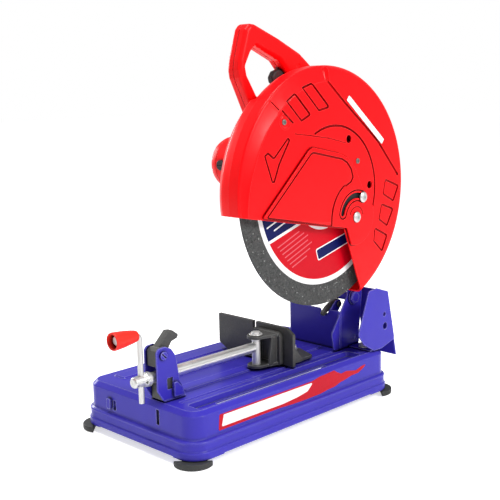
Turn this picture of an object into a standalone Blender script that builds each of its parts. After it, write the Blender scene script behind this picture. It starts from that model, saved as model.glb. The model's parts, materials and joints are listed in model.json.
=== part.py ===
"""An abrasive cut-off saw for 355 mm wheels, with its head raised.

All sizes in this file are millimetres, and finish() writes the meshes in metres. X points to the side
of the wheel cover, Y to the rear and Z up. Each moving group hangs from an empty on its joint's axis.
"""

import math

import bmesh
import bpy
from mathutils import Matrix, Vector

MM = 0.001
GAP = 0.3  # clearance between pieces that touch
SHIFT_Y = 10.0  # puts the origin under the middle of the whole saw

# ---- wheel and drive
WHEEL_RADIUS = 177.5
WHEEL_THICK = 3.2
WHEEL_X = 94.0  # middle plane of the wheel
ARBOR_RADIUS = 12.7
SPINDLE_Y, SPINDLE_Z = 83.0, 349.0
GEAR_MODULE = 1.6
GEAR_TEETH, PINION_TEETH = 40, 12
MOTOR_ANGLE = math.radians(120.0)  # direction of the motor axis seen from the spindle
CENTRE_DISTANCE = GEAR_MODULE * (GEAR_TEETH + PINION_TEETH) / 2
MOTOR_Y = SPINDLE_Y + CENTRE_DISTANCE * math.cos(MOTOR_ANGLE)
MOTOR_Z = SPINDLE_Z + CENTRE_DISTANCE * math.sin(MOTOR_ANGLE)

# ---- head
PIVOT_Y, PIVOT_Z = 189.0, 160.0
PIVOT_RADIUS = 7.0
ARM_LOW_X, ARM_HIGH_X = -20.0, -5.0
GUARD_RADIUS = 187.0
GUARD_LEFT, GUARD_SEAM, GUARD_FACE = 46.5, 83.0, 112.0
GUARD_WALL = 2.7
GUARD_HOLES = ((127.1, 424.9), (179.0, 350.3))
GUARD_HOLE_RADIUS = 6.5
COVER_THICK = 2.8
COVER_X = GUARD_FACE + 1.4
COVER_PIVOT_Y, COVER_PIVOT_Z = 140.5, 303.0
COVER_SLOT_RADIUS = 34.0
COVER_BOLT_ANGLE = math.radians(62.0)
COVER_SLOT_END = math.radians(165.0)

# ---- base
BASE_HALF_X, BASE_HALF_Y = 121.5, 215.5
BASE_CORNER = 25.0
DECK_Z = 76.5
SHEET = 2.0
SKIRT_OUT = 4.5
SKIRT_BOTTOM = 9.0
PAD_BOTTOM = 13.5
FOOT_X, FOOT_Y, FOOT_RADIUS, FOOT_HEIGHT = 105.0, 202.0, 28.5, 13.2
FOOT_BACK = 9.0  # from a foot's middle out to its straight back
GUTTER_LOW_X, GUTTER_HIGH_X = 83.0, 112.0
GUTTER_FLOOR = 68.5

# ---- vise and fence
VISE_X, SCREW_Z, SCREW_RADIUS = 40.0, 112.0, 8.0
JAW_PIN_Y = -11.0
JAW_PIN_RADIUS = 6.5
CRANK_Y = -236.0
GRIP_Z = 177.0
LEVER_PIN_Y, LEVER_PIN_Z = -207.4, 144.2
FENCE_PIVOT = (-55.0, 48.0)
FENCE_SLOT_RADIUS = 88.0
FENCE_SLOT_ANGLE = math.radians(26.0)
FENCE_SWING = math.radians(30.0)
FENCE_FRONT, FENCE_THICK = 25.0, 6.0
FENCE_BOTTOM, FENCE_TOP = 79.0, 139.5
HOOK_PIN_Y, HOOK_PIN_Z = 180.0, 146.0

# ---- handle
HANDLE_LEFT, HANDLE_SEAM, HANDLE_RIGHT = 17.0, 31.0, 46.0
TRIGGER_Y, TRIGGER_Z = 70.0, 519.0
BUTTON_Y, BUTTON_Z = 62.0, 552.0

ROUND = 28  # sides of a middling round piece

for stale in list(bpy.data.objects):
    bpy.data.objects.remove(stale, do_unlink=True)


# ---------------------------------------------------------------- tools
def material(name, colour, roughness, metallic=0.0):
    made = bpy.data.materials.new(name)
    made.use_nodes = True
    shader = made.node_tree.nodes["Principled BSDF"]
    shader.inputs["Base Color"].default_value = (*colour, 1.0)
    shader.inputs["Roughness"].default_value = roughness
    shader.inputs["Metallic"].default_value = metallic
    return made


BLUE = material("blue_paint", (0.075, 0.06, 0.42), 0.35)
RED = material("red_shell", (0.80, 0.02, 0.02), 0.35)
DARK = material("black_iron", (0.05, 0.05, 0.052), 0.55, 0.3)
STEEL = material("bright_steel", (0.75, 0.75, 0.77), 0.25, 1.0)
ALUMINIUM = material("cast_aluminium", (0.55, 0.56, 0.58), 0.45, 1.0)
RUBBER = material("black_rubber", (0.03, 0.03, 0.03), 0.8)
ABRASIVE = material("abrasive", (0.05, 0.05, 0.05), 0.95)
GRIP_RED = material("red_plastic", (0.85, 0.06, 0.04), 0.4)
COPPER = material("copper", (0.7, 0.3, 0.15), 0.4, 1.0)
GREY_PLASTIC = material("grey_plastic", (0.12, 0.12, 0.12), 0.5)


def body(name, parent, x=0.0, y=0.0, z=0.0):
    """An empty on a joint's axis, which holds the pieces that move together."""
    empty = bpy.data.objects.new(name, None)
    bpy.context.collection.objects.link(empty)
    spot = Vector((x, y, z))
    empty["spot"] = spot
    if parent:
        empty.parent = parent
        spot = spot - Vector(parent["spot"])
    empty.location = spot * MM
    return empty


ROOT = body("saw_origin", None)
ROOT.location = (0.0, SHIFT_Y * MM, 0.0)


def place(axis, u, v, w):
    """A point with u, v in the plane across axis, and w along it."""
    return Vector({"X": (w, u, v), "Y": (u, w, v), "Z": (u, v, w)}[axis])


def ring_mesh(rings, closed_tube=False):
    """A closed mesh through rings of points; a one-point ring is a tip, and open ends get a cap."""
    bm = bmesh.new()
    rows = [[bm.verts.new(p) for p in ring] for ring in rings]
    pairs = list(zip(rows, rows[1:]))
    if closed_tube:
        pairs.append((rows[-1], rows[0]))
    for first, second in pairs:
        count = max(len(first), len(second))
        if count == 1:
            continue
        for i in range(count):
            j = (i + 1) % count
            quad = [first[i % len(first)], first[j % len(first)]]
            quad += [second[j % len(second)], second[i % len(second)]]
            bm.faces.new(list(dict.fromkeys(quad)))
    if not closed_tube:
        for row in (rows[0], rows[-1]):
            if len(row) > 2:
                bm.faces.new(row)
    bmesh.ops.recalc_face_normals(bm, faces=bm.faces)
    return bm


def prism(outline, axis, low, high):
    return ring_mesh([[place(axis, u, v, w) for u, v in outline] for w in (low, high)])


def lathe(profile, axis, centre=(0.0, 0.0), sides=ROUND):
    """A profile of (radius, place along axis) turned about axis; one that starts off the axis is closed."""
    turns = [2 * math.pi * i / sides for i in range(sides)]
    rings = []
    for radius, along in profile:
        used = turns if radius > 0 else [0.0]
        spots = [(centre[0] + radius * math.cos(t), centre[1] + radius * math.sin(t)) for t in used]
        rings.append([place(axis, u, v, along) for u, v in spots])
    return ring_mesh(rings, closed_tube=profile[0][0] > 0)


def rod(axis, centre, radius, low, high, sides=ROUND):
    return lathe([(0, low), (radius, low), (radius, high), (0, high)], axis, centre, sides)


def box(low, high):
    corners = [(low[0], low[1]), (high[0], low[1]), (high[0], high[1]), (low[0], high[1])]
    return prism(corners, "Z", low[2], high[2])


def arc(centre, radius, start, end, steps):
    """Points along an arc, angles in radians."""
    turn = (end - start) / steps
    return [
        (centre[0] + radius * math.cos(start + i * turn), centre[1] + radius * math.sin(start + i * turn))
        for i in range(steps + 1)
    ]


def hull(first, first_radius, second, second_radius, steps=12):
    """The outline of a belt round two circles."""
    apart = Vector(second) - Vector(first)
    lean = math.atan2(apart.y, apart.x)
    spread = math.acos((first_radius - second_radius) / apart.length)
    return arc(first, first_radius, lean + spread, lean + 2 * math.pi - spread, steps) + arc(
        second, second_radius, lean - spread, lean + spread, steps
    )


def band(centre, radius, half_width, start, end, steps=10):
    """The outline of a slot along an arc, with round ends."""
    head = arc(centre, radius, end, end, 1)[0]
    tail = arc(centre, radius, start, start, 1)[0]
    return (
        arc(centre, radius + half_width, start, end, steps)
        + arc(head, half_width, end, end + math.pi, 6)[1:-1]
        + arc(centre, radius - half_width, end, start, steps)
        + arc(tail, half_width, start + math.pi, start + 2 * math.pi, 6)[1:-1]
    )


def loose(bm):
    """A mesh object outside the model, for use in a Boolean."""
    mesh = bpy.data.meshes.new("tool")
    bm.to_mesh(mesh)
    bm.free()
    made = bpy.data.objects.new("tool", mesh)
    bpy.context.collection.objects.link(made)
    return made


def combine(target, operation, tools):
    """Unites target with each bmesh in tools, or cuts them from it, and keeps the result as its mesh."""
    for tool in tools:
        other = loose(tool)
        step = target.modifiers.new(operation, "BOOLEAN")
        step.operation = operation
        step.solver = "EXACT"
        step.object = other
        graph = bpy.context.evaluated_depsgraph_get()
        result = bpy.data.meshes.new_from_object(target.evaluated_get(graph))
        target.modifiers.clear()
        target.data = result
        bpy.data.objects.remove(other, do_unlink=True)
    return target


def solid(bm, add=(), cut=()):
    made = loose(bm)
    combine(made, "UNION", add)
    return combine(made, "DIFFERENCE", cut)


def tube(points, radius, sides):
    """A round bar along a path of points, as a mesh object."""
    path = [Vector(p) for p in points]
    side = None
    rings = []
    for i, spot in enumerate(path):
        ahead = (path[min(i + 1, len(path) - 1)] - path[max(i - 1, 0)]).normalized()
        side = (side or ahead.orthogonal()).normalized()
        side = (side - ahead * side.dot(ahead)).normalized()
        other = ahead.cross(side)
        turns = [2 * math.pi * k / sides for k in range(sides)]
        rings.append([spot + side * radius * math.cos(t) + other * radius * math.sin(t) for t in turns])
    return solid(ring_mesh(rings))


def finish(made, name, paint, holder):
    """Names a piece, scales it to metres and hangs it from its body's empty."""
    made.name = name
    made.data.name = name
    origin = Vector(holder["spot"])
    made.data.transform(Matrix.Scale(MM, 4) @ Matrix.Translation(-origin))
    made.data.shade_smooth()
    made.data.set_sharp_from_angle(angle=math.radians(35.0))
    made.data.materials.clear()
    made.data.materials.append(paint)
    made.parent = holder
    return made


def bolt(name, axis, centre, foot, seat, top, radius, paint=STEEL, holder=ROOT, head=None, nut=None):
    """A fastener along axis from foot, with its head from seat to top and a nut from foot up to nut."""
    head = head or radius * 1.7
    profile = [(0, foot)]
    if nut is None:
        profile += [(radius, foot)]
    else:
        profile += [(head * 0.9, foot), (head * 0.9, nut), (radius, nut)]
    profile += [(radius, seat), (head, seat), (head, top), (0, top)]
    return finish(solid(lathe(profile, axis, centre, 12)), name, paint, holder)


# ---------------------------------------------------------------- moving groups
HEAD = body("head", ROOT, 0.0, PIVOT_Y, PIVOT_Z)
SPIN = body("wheel_group", HEAD, WHEEL_X, SPINDLE_Y, SPINDLE_Z)
ARMATURE = body("armature_group", HEAD, 0.0, MOTOR_Y, MOTOR_Z)
ACCESS = body("access_group", HEAD, COVER_X, COVER_PIVOT_Y, COVER_PIVOT_Z)
TRIGGER = body("trigger_group", HEAD, HANDLE_SEAM, TRIGGER_Y, TRIGGER_Z)
BUTTON = body("button_group", HEAD, HANDLE_LEFT, BUTTON_Y, BUTTON_Z)
LOCK = body("spindle_lock_group", HEAD, 29.5, SPINDLE_Y, SPINDLE_Z)
FENCE = body("fence_group", ROOT, *FENCE_PIVOT, FENCE_BOTTOM)
CARRIAGE = body("jaw_carriage", ROOT, VISE_X, JAW_PIN_Y, SCREW_Z)
JAW = body("jaw_group", CARRIAGE, VISE_X, JAW_PIN_Y, SCREW_Z)
SCREW = body("screw_group", CARRIAGE, VISE_X, CRANK_Y, SCREW_Z)
GRIP = body("grip_group", SCREW, VISE_X, CRANK_Y, GRIP_Z)
LEVER = body("lever_group", ROOT, VISE_X, LEVER_PIN_Y, LEVER_PIN_Z)
HOOK = body("hook_group", ROOT, VISE_X, HOOK_PIN_Y, HOOK_PIN_Z)

PIVOT = (PIVOT_Y, PIVOT_Z)
SPINDLE = (SPINDLE_Y, SPINDLE_Z)
MOTOR = (MOTOR_Y, MOTOR_Z)
COVER_PIVOT = (COVER_PIVOT_Y, COVER_PIVOT_Z)
COVER_BOLT = arc(COVER_PIVOT, COVER_SLOT_RADIUS, COVER_BOLT_ANGLE, COVER_BOLT_ANGLE, 1)[0]
FENCE_BOLT = arc(FENCE_PIVOT, FENCE_SLOT_RADIUS, FENCE_SLOT_ANGLE, FENCE_SLOT_ANGLE, 1)[0]
GUARD_SCREWS = {"guard_screw_front": (-19.0, 456.0), "guard_screw_rear": (148.0, 390.0)}
LEVER_PIN = (LEVER_PIN_Y, LEVER_PIN_Z)
HOOK_PIN = (HOOK_PIN_Y, HOOK_PIN_Z)
JAW_PIN = (VISE_X, JAW_PIN_Y)
SCREW_LINE = (VISE_X, SCREW_Z)


# ---------------------------------------------------------------- base
def rounded_ring(offset, z, steps=5):
    """A rounded rectangle, offset outwards from the upper half of the base."""
    points = []
    for turn, (sx, sy) in enumerate(((1, 1), (-1, 1), (-1, -1), (1, -1))):
        corner = (sx * (BASE_HALF_X - BASE_CORNER), sy * (BASE_HALF_Y - BASE_CORNER))
        points += arc(corner, BASE_CORNER + offset, turn * math.pi / 2, (turn + 1) * math.pi / 2, steps)
    return [Vector((x, y, z)) for x, y in points]


def base_shell():
    lip = SKIRT_OUT + 2
    outer = [(lip, SKIRT_BOTTOM), (lip, 20), (SKIRT_OUT, 21.5), (SKIRT_OUT, 31), (3.5, 33.5), (0, 36)]
    outer += [(0, 70), (-2.5, 75), (-7, DECK_Z)]
    inner = [(-8, DECK_Z - SHEET), (-4.3, 73.2), (-SHEET, 69.5), (-SHEET, 34.8), (1, 32.5), (2.5, 30.5)]
    inner += [(2.5, SKIRT_BOTTOM)]
    rings = [rounded_ring(offset, z) for offset, z in outer + inner]
    bm = bmesh.new()
    rows = [[bm.verts.new(p) for p in ring] for ring in rings]
    count = len(rows[0])
    decks = (len(outer) - 1, len(outer))
    for i, first in enumerate(rows):
        second = rows[(i + 1) % len(rows)]
        if i == decks[0]:
            continue
        for k in range(count):
            bm.faces.new([first[k], first[(k + 1) % count], second[(k + 1) % count], second[k]])
    for row in decks:
        bm.faces.new(rows[row])
    bmesh.ops.recalc_face_normals(bm, faces=bm.faces)

    add = [box((81, -195, GUTTER_FLOOR - SHEET), (114, 159, 75.5))]
    for sx in (-1, 1):
        for sy in (-1, 1):
            corner = (sx * (BASE_HALF_X - BASE_CORNER), sy * (BASE_HALF_Y - BASE_CORNER))
            add.append(rod("Z", corner, 28.6, PAD_BOTTOM, 15.8, 20))
    for low_x, high_x, low_y, high_y in ((-101, -74, -180, 190), (15, 40, -156, 148), (-30, -20, -180, 148)):
        add.append(box((low_x, low_y, DECK_Z - 1), (high_x, high_y, 78.7)))
    tab = box((-66, -219, 42), (-57, -214.5, 58))
    cut = [
        box((GUTTER_LOW_X, -193, GUTTER_FLOOR), (GUTTER_HIGH_X, 157, 90)),
        box((WHEEL_X - 4, -146, 60), (WHEEL_X + 4, 91, 72)),
        box((-85, -240, 5), (85, 240, SKIRT_BOTTOM + 2)),
        box((-140, -165, 5), (140, 165, SKIRT_BOTTOM + 2)),
        box((-56, -225, 42), (-49, -205, 56)),
        box((44, -225, 46), (49, -205, 66)),
    ]
    for sx in (-1, 1):
        for sy in (-1, 1):
            cut.append(rod("Z", (sx * FOOT_X, sy * FOOT_Y), 5 + GAP, 10, 20, 14))
    for spot in DECK_BOLTS.values():
        cut.append(rod("Z", spot, 5 + GAP, 60, 90, 14))
    finish(solid(bm, add + [tab], cut), "base_shell", BLUE, ROOT)


DECK_BOLTS = {
    "fence_pivot_bolt": FENCE_PIVOT,
    "fence_lock_bolt": FENCE_BOLT,
    "pivot_bracket_bolt_left": (-26.0, 190.0),
    "pivot_bracket_bolt_right": (54.0, 190.0),
    "spark_deflector_bolt": (95.0, 188.0),
    "vise_bracket_bolt": (VISE_X, -177.0),
}


def deck_bolts():
    for name, spot in DECK_BOLTS.items():
        seat = (84.0 if name.startswith("fence") else 79.3) + GAP
        bolt(name, "Z", spot, 66, seat, seat + 6, 5, head=9, nut=DECK_Z - SHEET - GAP)


def foot_back(sx, sy):
    """The inner part of a foot's disc, which is cut off along a straight back."""
    out = Vector((sx, sy)).normalized()
    along = Vector((-out.y, out.x)) * FOOT_RADIUS * 1.1
    back = Vector((sx * FOOT_X, sy * FOOT_Y)) + out * FOOT_BACK
    inside = back - out * FOOT_RADIUS * 1.5
    return prism([back + along, back - along, inside - along, inside + along], "Z", -1, 20)


def feet():
    rim, top = FOOT_RADIUS, SKIRT_BOTTOM - GAP
    cushion = [(0, 0), (rim - 2.5, 0), (rim, 2.5), (rim, top - 1.5), (rim - 1.5, top), (0, top)]
    tongue = [(0, top - 3), (12.5, top - 3), (12.5, FOOT_HEIGHT), (5, FOOT_HEIGHT), (5, 22), (0, 22)]
    for sy, end in ((-1, "front"), (1, "rear")):
        for sx, side in ((-1, "left"), (1, "right")):
            middle = (sx * FOOT_X, sy * FOOT_Y)
            shape = solid(lathe(cushion, "Z", middle), cut=[foot_back(sx, sy)])
            combine(shape, "UNION", [lathe(tongue, "Z", middle, 20)])
            finish(shape, f"foot_{end}_{side}", RUBBER, ROOT)


def pivot_bracket():
    floor = DECK_Z + GAP
    left_ear = [(156, floor), (156, 150), (172, 178), (206, 178), (213, 165), (206, 100), (206, floor)]
    right_ear = [(140, floor), (134.9, 105.8), (173.7, 163.3), (178, 180), (206, 180), (214, 165), (206, 100)]
    right_ear += [(206, floor)]
    web = [(-40.5, floor), (69.5, floor), (69.5, 141), (46, 141), (44, 134), (30, 134), (28, 141)]
    web += [(-40.5, 141)]
    hook_tab = [(156, 118), (156, 138), (174, 153), (186, 153), (186, 142), (166, 118)]
    add = [
        prism(left_ear, "X", -41, -38.5),
        prism(right_ear, "X", 67.5, 70),
        box((-40.5, 156, floor), (69.5, 205.5, 79.2)),
        prism(hook_tab, "X", 44.3, 46.8),
    ]
    cut = [rod("X", PIVOT, PIVOT_RADIUS + GAP, -50, 80, 20), rod("X", HOOK_PIN, 3 + GAP, 43, 50, 12)]
    cut += [rod("Z", DECK_BOLTS[name], 5 + GAP, 70, 90, 14) for name in DECK_BOLTS if "pivot_bracket" in name]
    finish(solid(prism(web, "Y", 155, 157.5), add, cut), "pivot_bracket", BLUE, ROOT)


def pivot_shaft():
    bolt("pivot_shaft", "X", PIVOT, -46, 70 + GAP, 76, PIVOT_RADIUS, head=11, nut=-41 - GAP)


def lift_spring():
    """A torsion spring round the pivot shaft, with one leg on the bracket's floor."""
    coil, wire, pitch, turns, start = 11.0, 1.4, 3.6, 3, -35.5
    points = []
    for i in range(turns * 12 + 1):
        angle = 2 * math.pi * i / 12
        spot = (start + pitch * i / 12, PIVOT_Y + coil * math.cos(angle), PIVOT_Z + coil * math.sin(angle))
        points.append(spot)
    points.insert(0, (start, PIVOT_Y + coil, 84.0))
    points.append((points[-1][0], PIVOT_Y + coil, PIVOT_Z + 26.0))
    finish(tube(points, wire, 6), "lift_spring", STEEL, ROOT)


def spark_deflector():
    floor = DECK_Z + GAP
    ear = [(171.5, 179.3), (192.6, 180.7), (222.5, 170.6), (241.5, 86.5), (206, floor), (185, floor)]
    ear += [(158.8, 92.1), (144.5, 110.1)]
    back = [(220.5, 170.8), (222.6, 171.2), (248, 57), (246, 56.6)]
    add = [box((72, 176, floor), (116, 206, 79.1)), prism(back, "X", 50, 116)]
    cut = [
        rod("X", (213, 133.4), 3, 110, 120, 12),
        rod("X", (214.8, 113.5), 5.5, 110, 120, 14),
        rod("Z", DECK_BOLTS["spark_deflector_bolt"], 5 + GAP, 70, 90, 14),
    ]
    finish(solid(prism(ear, "X", 115, 117.2), add, cut), "spark_deflector", BLUE, ROOT)


# ---------------------------------------------------------------- fence and vise
def fence():
    plate = [(-82, 91), (-58, FENCE_BOTTOM), (84, FENCE_BOTTOM), (84, 130), (70, FENCE_TOP), (4, FENCE_TOP)]
    plate += [(4, 128), (-2, 128), (-2, FENCE_TOP), (-82, FENCE_TOP)]
    flange = [(-70, 30), (-70, 62), (-40, 72), (8, 99), (32, 100), (71, 85), (72, 30)]
    slot = band(FENCE_PIVOT, FENCE_SLOT_RADIUS, 5 + GAP, FENCE_SLOT_ANGLE - FENCE_SWING, FENCE_SLOT_ANGLE)
    finish(
        solid(
            prism(plate, "Y", FENCE_FRONT, FENCE_FRONT + FENCE_THICK),
            [prism(flange, "Z", FENCE_BOTTOM + 0.2, 84)],
            [rod("Z", FENCE_PIVOT, 5 + GAP, 70, 90, 16), prism(slot, "Z", 70, 90)],
        ),
        "fence",
        DARK,
        FENCE,
    )


def vise_bracket():
    floor = DECK_Z + GAP
    plate = [(-207, floor), (-219, 95), (-219, 150), (-215, 155), (-203, 156), (-192, 151), (-184, 139)]
    plate += [(-178.5, 104), (-172, 90), (-168, floor)]
    add = [prism(plate, "X", 51.5, 54), box((26.5, -206, floor), (53.5, -168.5, 79.2))]
    cut = [
        rod("X", LEVER_PIN, 3.5 + GAP, 20, 60, 14),
        rod("Z", DECK_BOLTS["vise_bracket_bolt"], 5 + GAP, 70, 90, 14),
    ]
    finish(solid(prism(plate, "X", 26, 28.5), add, cut), "vise_bracket", BLUE, ROOT)
    saddle = solid(
        box((29, -209, 79.2 + GAP), (51, -190, SCREW_Z - 1)),
        cut=[rod("Y", SCREW_LINE, SCREW_RADIUS + GAP, -215, -185, 24)],
    )
    finish(saddle, "lower_half_nut", DARK, ROOT)
    bolt("lever_pin", "X", LEVER_PIN, 22, 54 + GAP, 57, 3.5, head=6, nut=26 - GAP)


def half_nut_lever():
    block = [(-216, 127.5), (-198, 127), (-192, 140), (-195, 153), (-210, 154.5), (-216, 150)]
    arm = [(-212, 153), (-189, 174.5), (-181, 173.5), (-171, 166), (-173, 161), (-184, 158), (-192, 146)]
    arm += [(-200, 140)]
    pin_hole = rod("X", LEVER_PIN, 3.5 + GAP, 20, 60, 14)
    made = solid(prism(block, "X", 29, 51), [prism(arm, "X", 33.8, 45.8)], [pin_hole])
    finish(made, "half_nut_lever", DARK, LEVER)


def jaw():
    plate = [(8, 80), (64, 80), (64, 126), (58, 132), (8, 132)]
    lug = arc(JAW_PIN, 14, -math.pi, 0, 10) + [(60, 17), (20, 17)]
    gusset = [(17, 82), (-2, 82), (6, 129), (17, 129)]
    add = [
        prism(lug, "Z", 80.4, 85),
        prism(lug, "Z", 126, 131),
        prism(gusset, "X", 22, 26),
        prism(gusset, "X", 54, 58),
    ]
    cut = [rod("Z", JAW_PIN, JAW_PIN_RADIUS + GAP, 70, 140, 20)]
    finish(solid(prism(plate, "Y", 16.5, 24.5), add, cut), "jaw", DARK, JAW)
    pin = [(0, 80.2), (JAW_PIN_RADIUS, 80.2), (JAW_PIN_RADIUS, 131.3), (10.5, 131.3), (10.5, 133), (7, 133)]
    pin += [(7, 136), (0, 136)]
    socket = rod("Y", SCREW_LINE, 3.5 + GAP, -25, -6, 14)
    finish(solid(lathe(pin, "Z", JAW_PIN, 24), cut=[socket]), "jaw_pin", STEEL, CARRIAGE)


def vise_screw():
    shape = [(0, -7), (3.5, -7), (3.5, -17.9), (SCREW_RADIUS, -17.9), (SCREW_RADIUS, -229), (5.2, -229)]
    shape += [(5.2, -246), (0, -246)]
    crank_hole = [rod("Z", (VISE_X, CRANK_Y), 4 + GAP, 90, 130, 14)]
    finish(solid(lathe(shape, "Y", SCREW_LINE, 24), cut=crank_hole), "vise_screw", STEEL, SCREW)
    bore = SCREW_RADIUS + GAP
    hub = [(bore, -222.3), (10.4, -222.3), (10.4, -229), (8.6, -234), (7.6, -248.5), (6, -250.5)]
    hub += [(0, -250.5), (0, -246.4), (5.2 + GAP, -246.4), (5.2 + GAP, -229.3), (bore, -229.3)]
    crank_hole = [rod("Z", (VISE_X, CRANK_Y), 4 + GAP, 90, 130, 14)]
    finish(solid(lathe(hub, "Y", SCREW_LINE, 24), cut=crank_hole), "crank_hub", STEEL, SCREW)


def crank():
    upright = rod("Z", (VISE_X, CRANK_Y), 4, 80, GRIP_Z, 14)
    arm = [(0, CRANK_Y), (3.8, CRANK_Y), (3.8, -280), (6.3, -280), (6.3, -284), (0, -284)]
    ball = [(0, -4.2), (3, -3), (4.2, 0), (3, 3), (0, 4.2)]
    elbow = lathe([(radius, CRANK_Y + along) for radius, along in ball], "Y", (VISE_X, GRIP_Z), 14)
    finish(solid(upright, [elbow, lathe(arm, "Y", (VISE_X, GRIP_Z), 14)]), "crank_rod", STEEL, SCREW)
    shape = [(4.2, -243), (7.5, -243), (9, -250), (12.3, -274), (13.2, -287), (12.4, -290), (10.4, -290)]
    shape += [(9.6, -278), (4.2, -278)]
    finish(solid(lathe(shape, "Y", (VISE_X, GRIP_Z), 24)), "crank_grip", GRIP_RED, GRIP)


def lock_hook():
    plate = [(186, 152), (186, 141), (172, 139), (158, 136), (147, 129), (145, 136), (154, 145), (168, 152)]
    made = solid(prism(plate, "X", 37, 42), [rod("X", HOOK_PIN, 3, 40, 50, 12)])
    finish(made, "lock_hook", DARK, HOOK)


# ---------------------------------------------------------------- head
def head_arm():
    outline = hull(PIVOT, 20, (75, 368), 47, 14)
    cut = [rod("X", PIVOT, PIVOT_RADIUS + GAP, -40, 10, 20), rod("X", MOTOR, 15, -40, 10, 28)]
    boss = rod("X", MOTOR, 46, -33, ARM_LOW_X + 1)
    finish(solid(prism(outline, "X", ARM_LOW_X, ARM_HIGH_X), [boss], cut), "head_arm", DARK, HEAD)


def gearbox():
    outline = hull(SPINDLE, 46, MOTOR, 40, 14)
    cavity = hull(SPINDLE, 37.5, MOTOR, 13, 14)
    rear = [prism(cavity, "X", 9.3, 30), rod("X", MOTOR, 13, -10, 15, 24), rod("X", SPINDLE, 13.3, 0, 15, 24)]
    finish(solid(prism(outline, "X", -4.7, 24), cut=rear), "gear_housing", ALUMINIUM, HEAD)
    front = [
        prism(cavity, "X", 20, 33),
        rod("X", SPINDLE, 16.3, 30, 44, 24),
        rod("X", SPINDLE, 10, 40, 50, 24),
        rod("Y", (29.5, SPINDLE_Z), 2.5 + GAP, SPINDLE_Y + 30, SPINDLE_Y + 60, 12),
    ]
    finish(solid(prism(outline, "X", 24.3, 46.2), cut=front), "gearbox_cover", ALUMINIUM, HEAD)
    bearings = (("rear_bearing", 7.3, 13, 1, 8.8), ("front_bearing", 9.3, 16, 33.3, 43.7))
    for name, bore, size, low, high in bearings:
        race = [(bore, low), (size, low), (size, high), (bore, high)]
        finish(solid(lathe(race, "X", SPINDLE, 24)), name, STEEL, HEAD)
    far = SPINDLE_Y + 46
    near = SPINDLE_Y + 14
    pin = [(0, near), (2.5, near), (2.5, far + 4.6), (7, far + 4.6), (7, far + 10), (0, far + 10)]
    finish(solid(lathe(pin, "Y", (29.5, SPINDLE_Z), 14)), "spindle_lock_pin", STEEL, LOCK)


def motor():
    shell = lathe([(40.8, -72), (44, -72), (44, -33.3), (40.8, -33.3)], "X", MOTOR, 40)
    ports = [rod("Y", (-60, MOTOR_Z), 8.3, MOTOR_Y - 60, MOTOR_Y + 60, 16)]
    finish(solid(shell, cut=ports), "motor_housing", RED, HEAD)
    for side, name in ((-1, "brush_cap_front"), (1, "brush_cap_rear")):
        ends = sorted((MOTOR_Y + side * 41.5, MOTOR_Y + side * 47))
        finish(solid(rod("Y", (-60, MOTOR_Z), 8, *ends, 16)), name, GREY_PLASTIC, HEAD)
    cap = [(0, -92), (33, -92), (38.5, -89), (42.5, -80), (43.5, -72.3), (40, -72.3), (39, -79), (35, -86.5)]
    cap += [(13.3, -86.5), (13.3, -80), (9.5, -80), (9.5, -88.5), (0, -88.5)]
    finish(solid(lathe(cap, "X", MOTOR, 32)), "motor_end_cap", RED, HEAD)
    stator = lathe([(27.3, -68), (40.4, -68), (40.4, -36), (27.3, -36)], "X", MOTOR)
    finish(solid(stator), "stator", DARK, HEAD)
    core = lathe([(6.3, -66), (26.5, -66), (26.5, -38), (6.3, -38)], "X", MOTOR)
    finish(solid(core), "armature_core", STEEL, ARMATURE)
    commutator = lathe([(6.3, -79), (13, -79), (13, -68.5), (6.3, -68.5)], "X", MOTOR, 24)
    finish(solid(commutator), "commutator", COPPER, ARMATURE)


def gear_outline(teeth, phase, backlash):
    """Straight-flanked teeth of about a 25 degree pressure angle, one tooth centred on phase."""
    pitch = GEAR_MODULE * teeth / 2
    rows = [(pitch - GEAR_MODULE * 1.15, 1.0), (pitch, 0.0), (pitch + GEAR_MODULE * 0.85, -0.85)]
    slope = math.tan(math.radians(25.0))
    points = []
    for tooth in range(teeth):
        middle = phase + 2 * math.pi * tooth / teeth
        flank = []
        for radius, depth in rows:
            half = (math.pi * GEAR_MODULE / 4 - backlash / 2 + depth * GEAR_MODULE * slope) / radius
            flank.append((radius, half))
        for radius, half in flank:
            points.append((radius, middle - half))
        for radius, half in reversed(flank):
            points.append((radius, middle + half))
    return [(radius * math.cos(angle), radius * math.sin(angle)) for radius, angle in points]


def drive():
    teeth = [(y + SPINDLE_Y, z + SPINDLE_Z) for y, z in gear_outline(GEAR_TEETH, MOTOR_ANGLE, 0.35)]
    gear = solid(prism(teeth, "X", 13, 27), cut=[rod("X", SPINDLE, 9 + GAP, 5, 35, 24)])
    finish(gear, "spindle_gear", STEEL, SPIN)
    phase = MOTOR_ANGLE + math.pi + math.pi / PINION_TEETH
    teeth = [(y + MOTOR_Y, z + MOTOR_Z) for y, z in gear_outline(PINION_TEETH, phase, 0.35)]
    shaft = rod("X", MOTOR, 6, -87.5, 14, 20)
    finish(solid(prism(teeth, "X", 11, 29), [shaft]), "armature_shaft", STEEL, ARMATURE)


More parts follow.
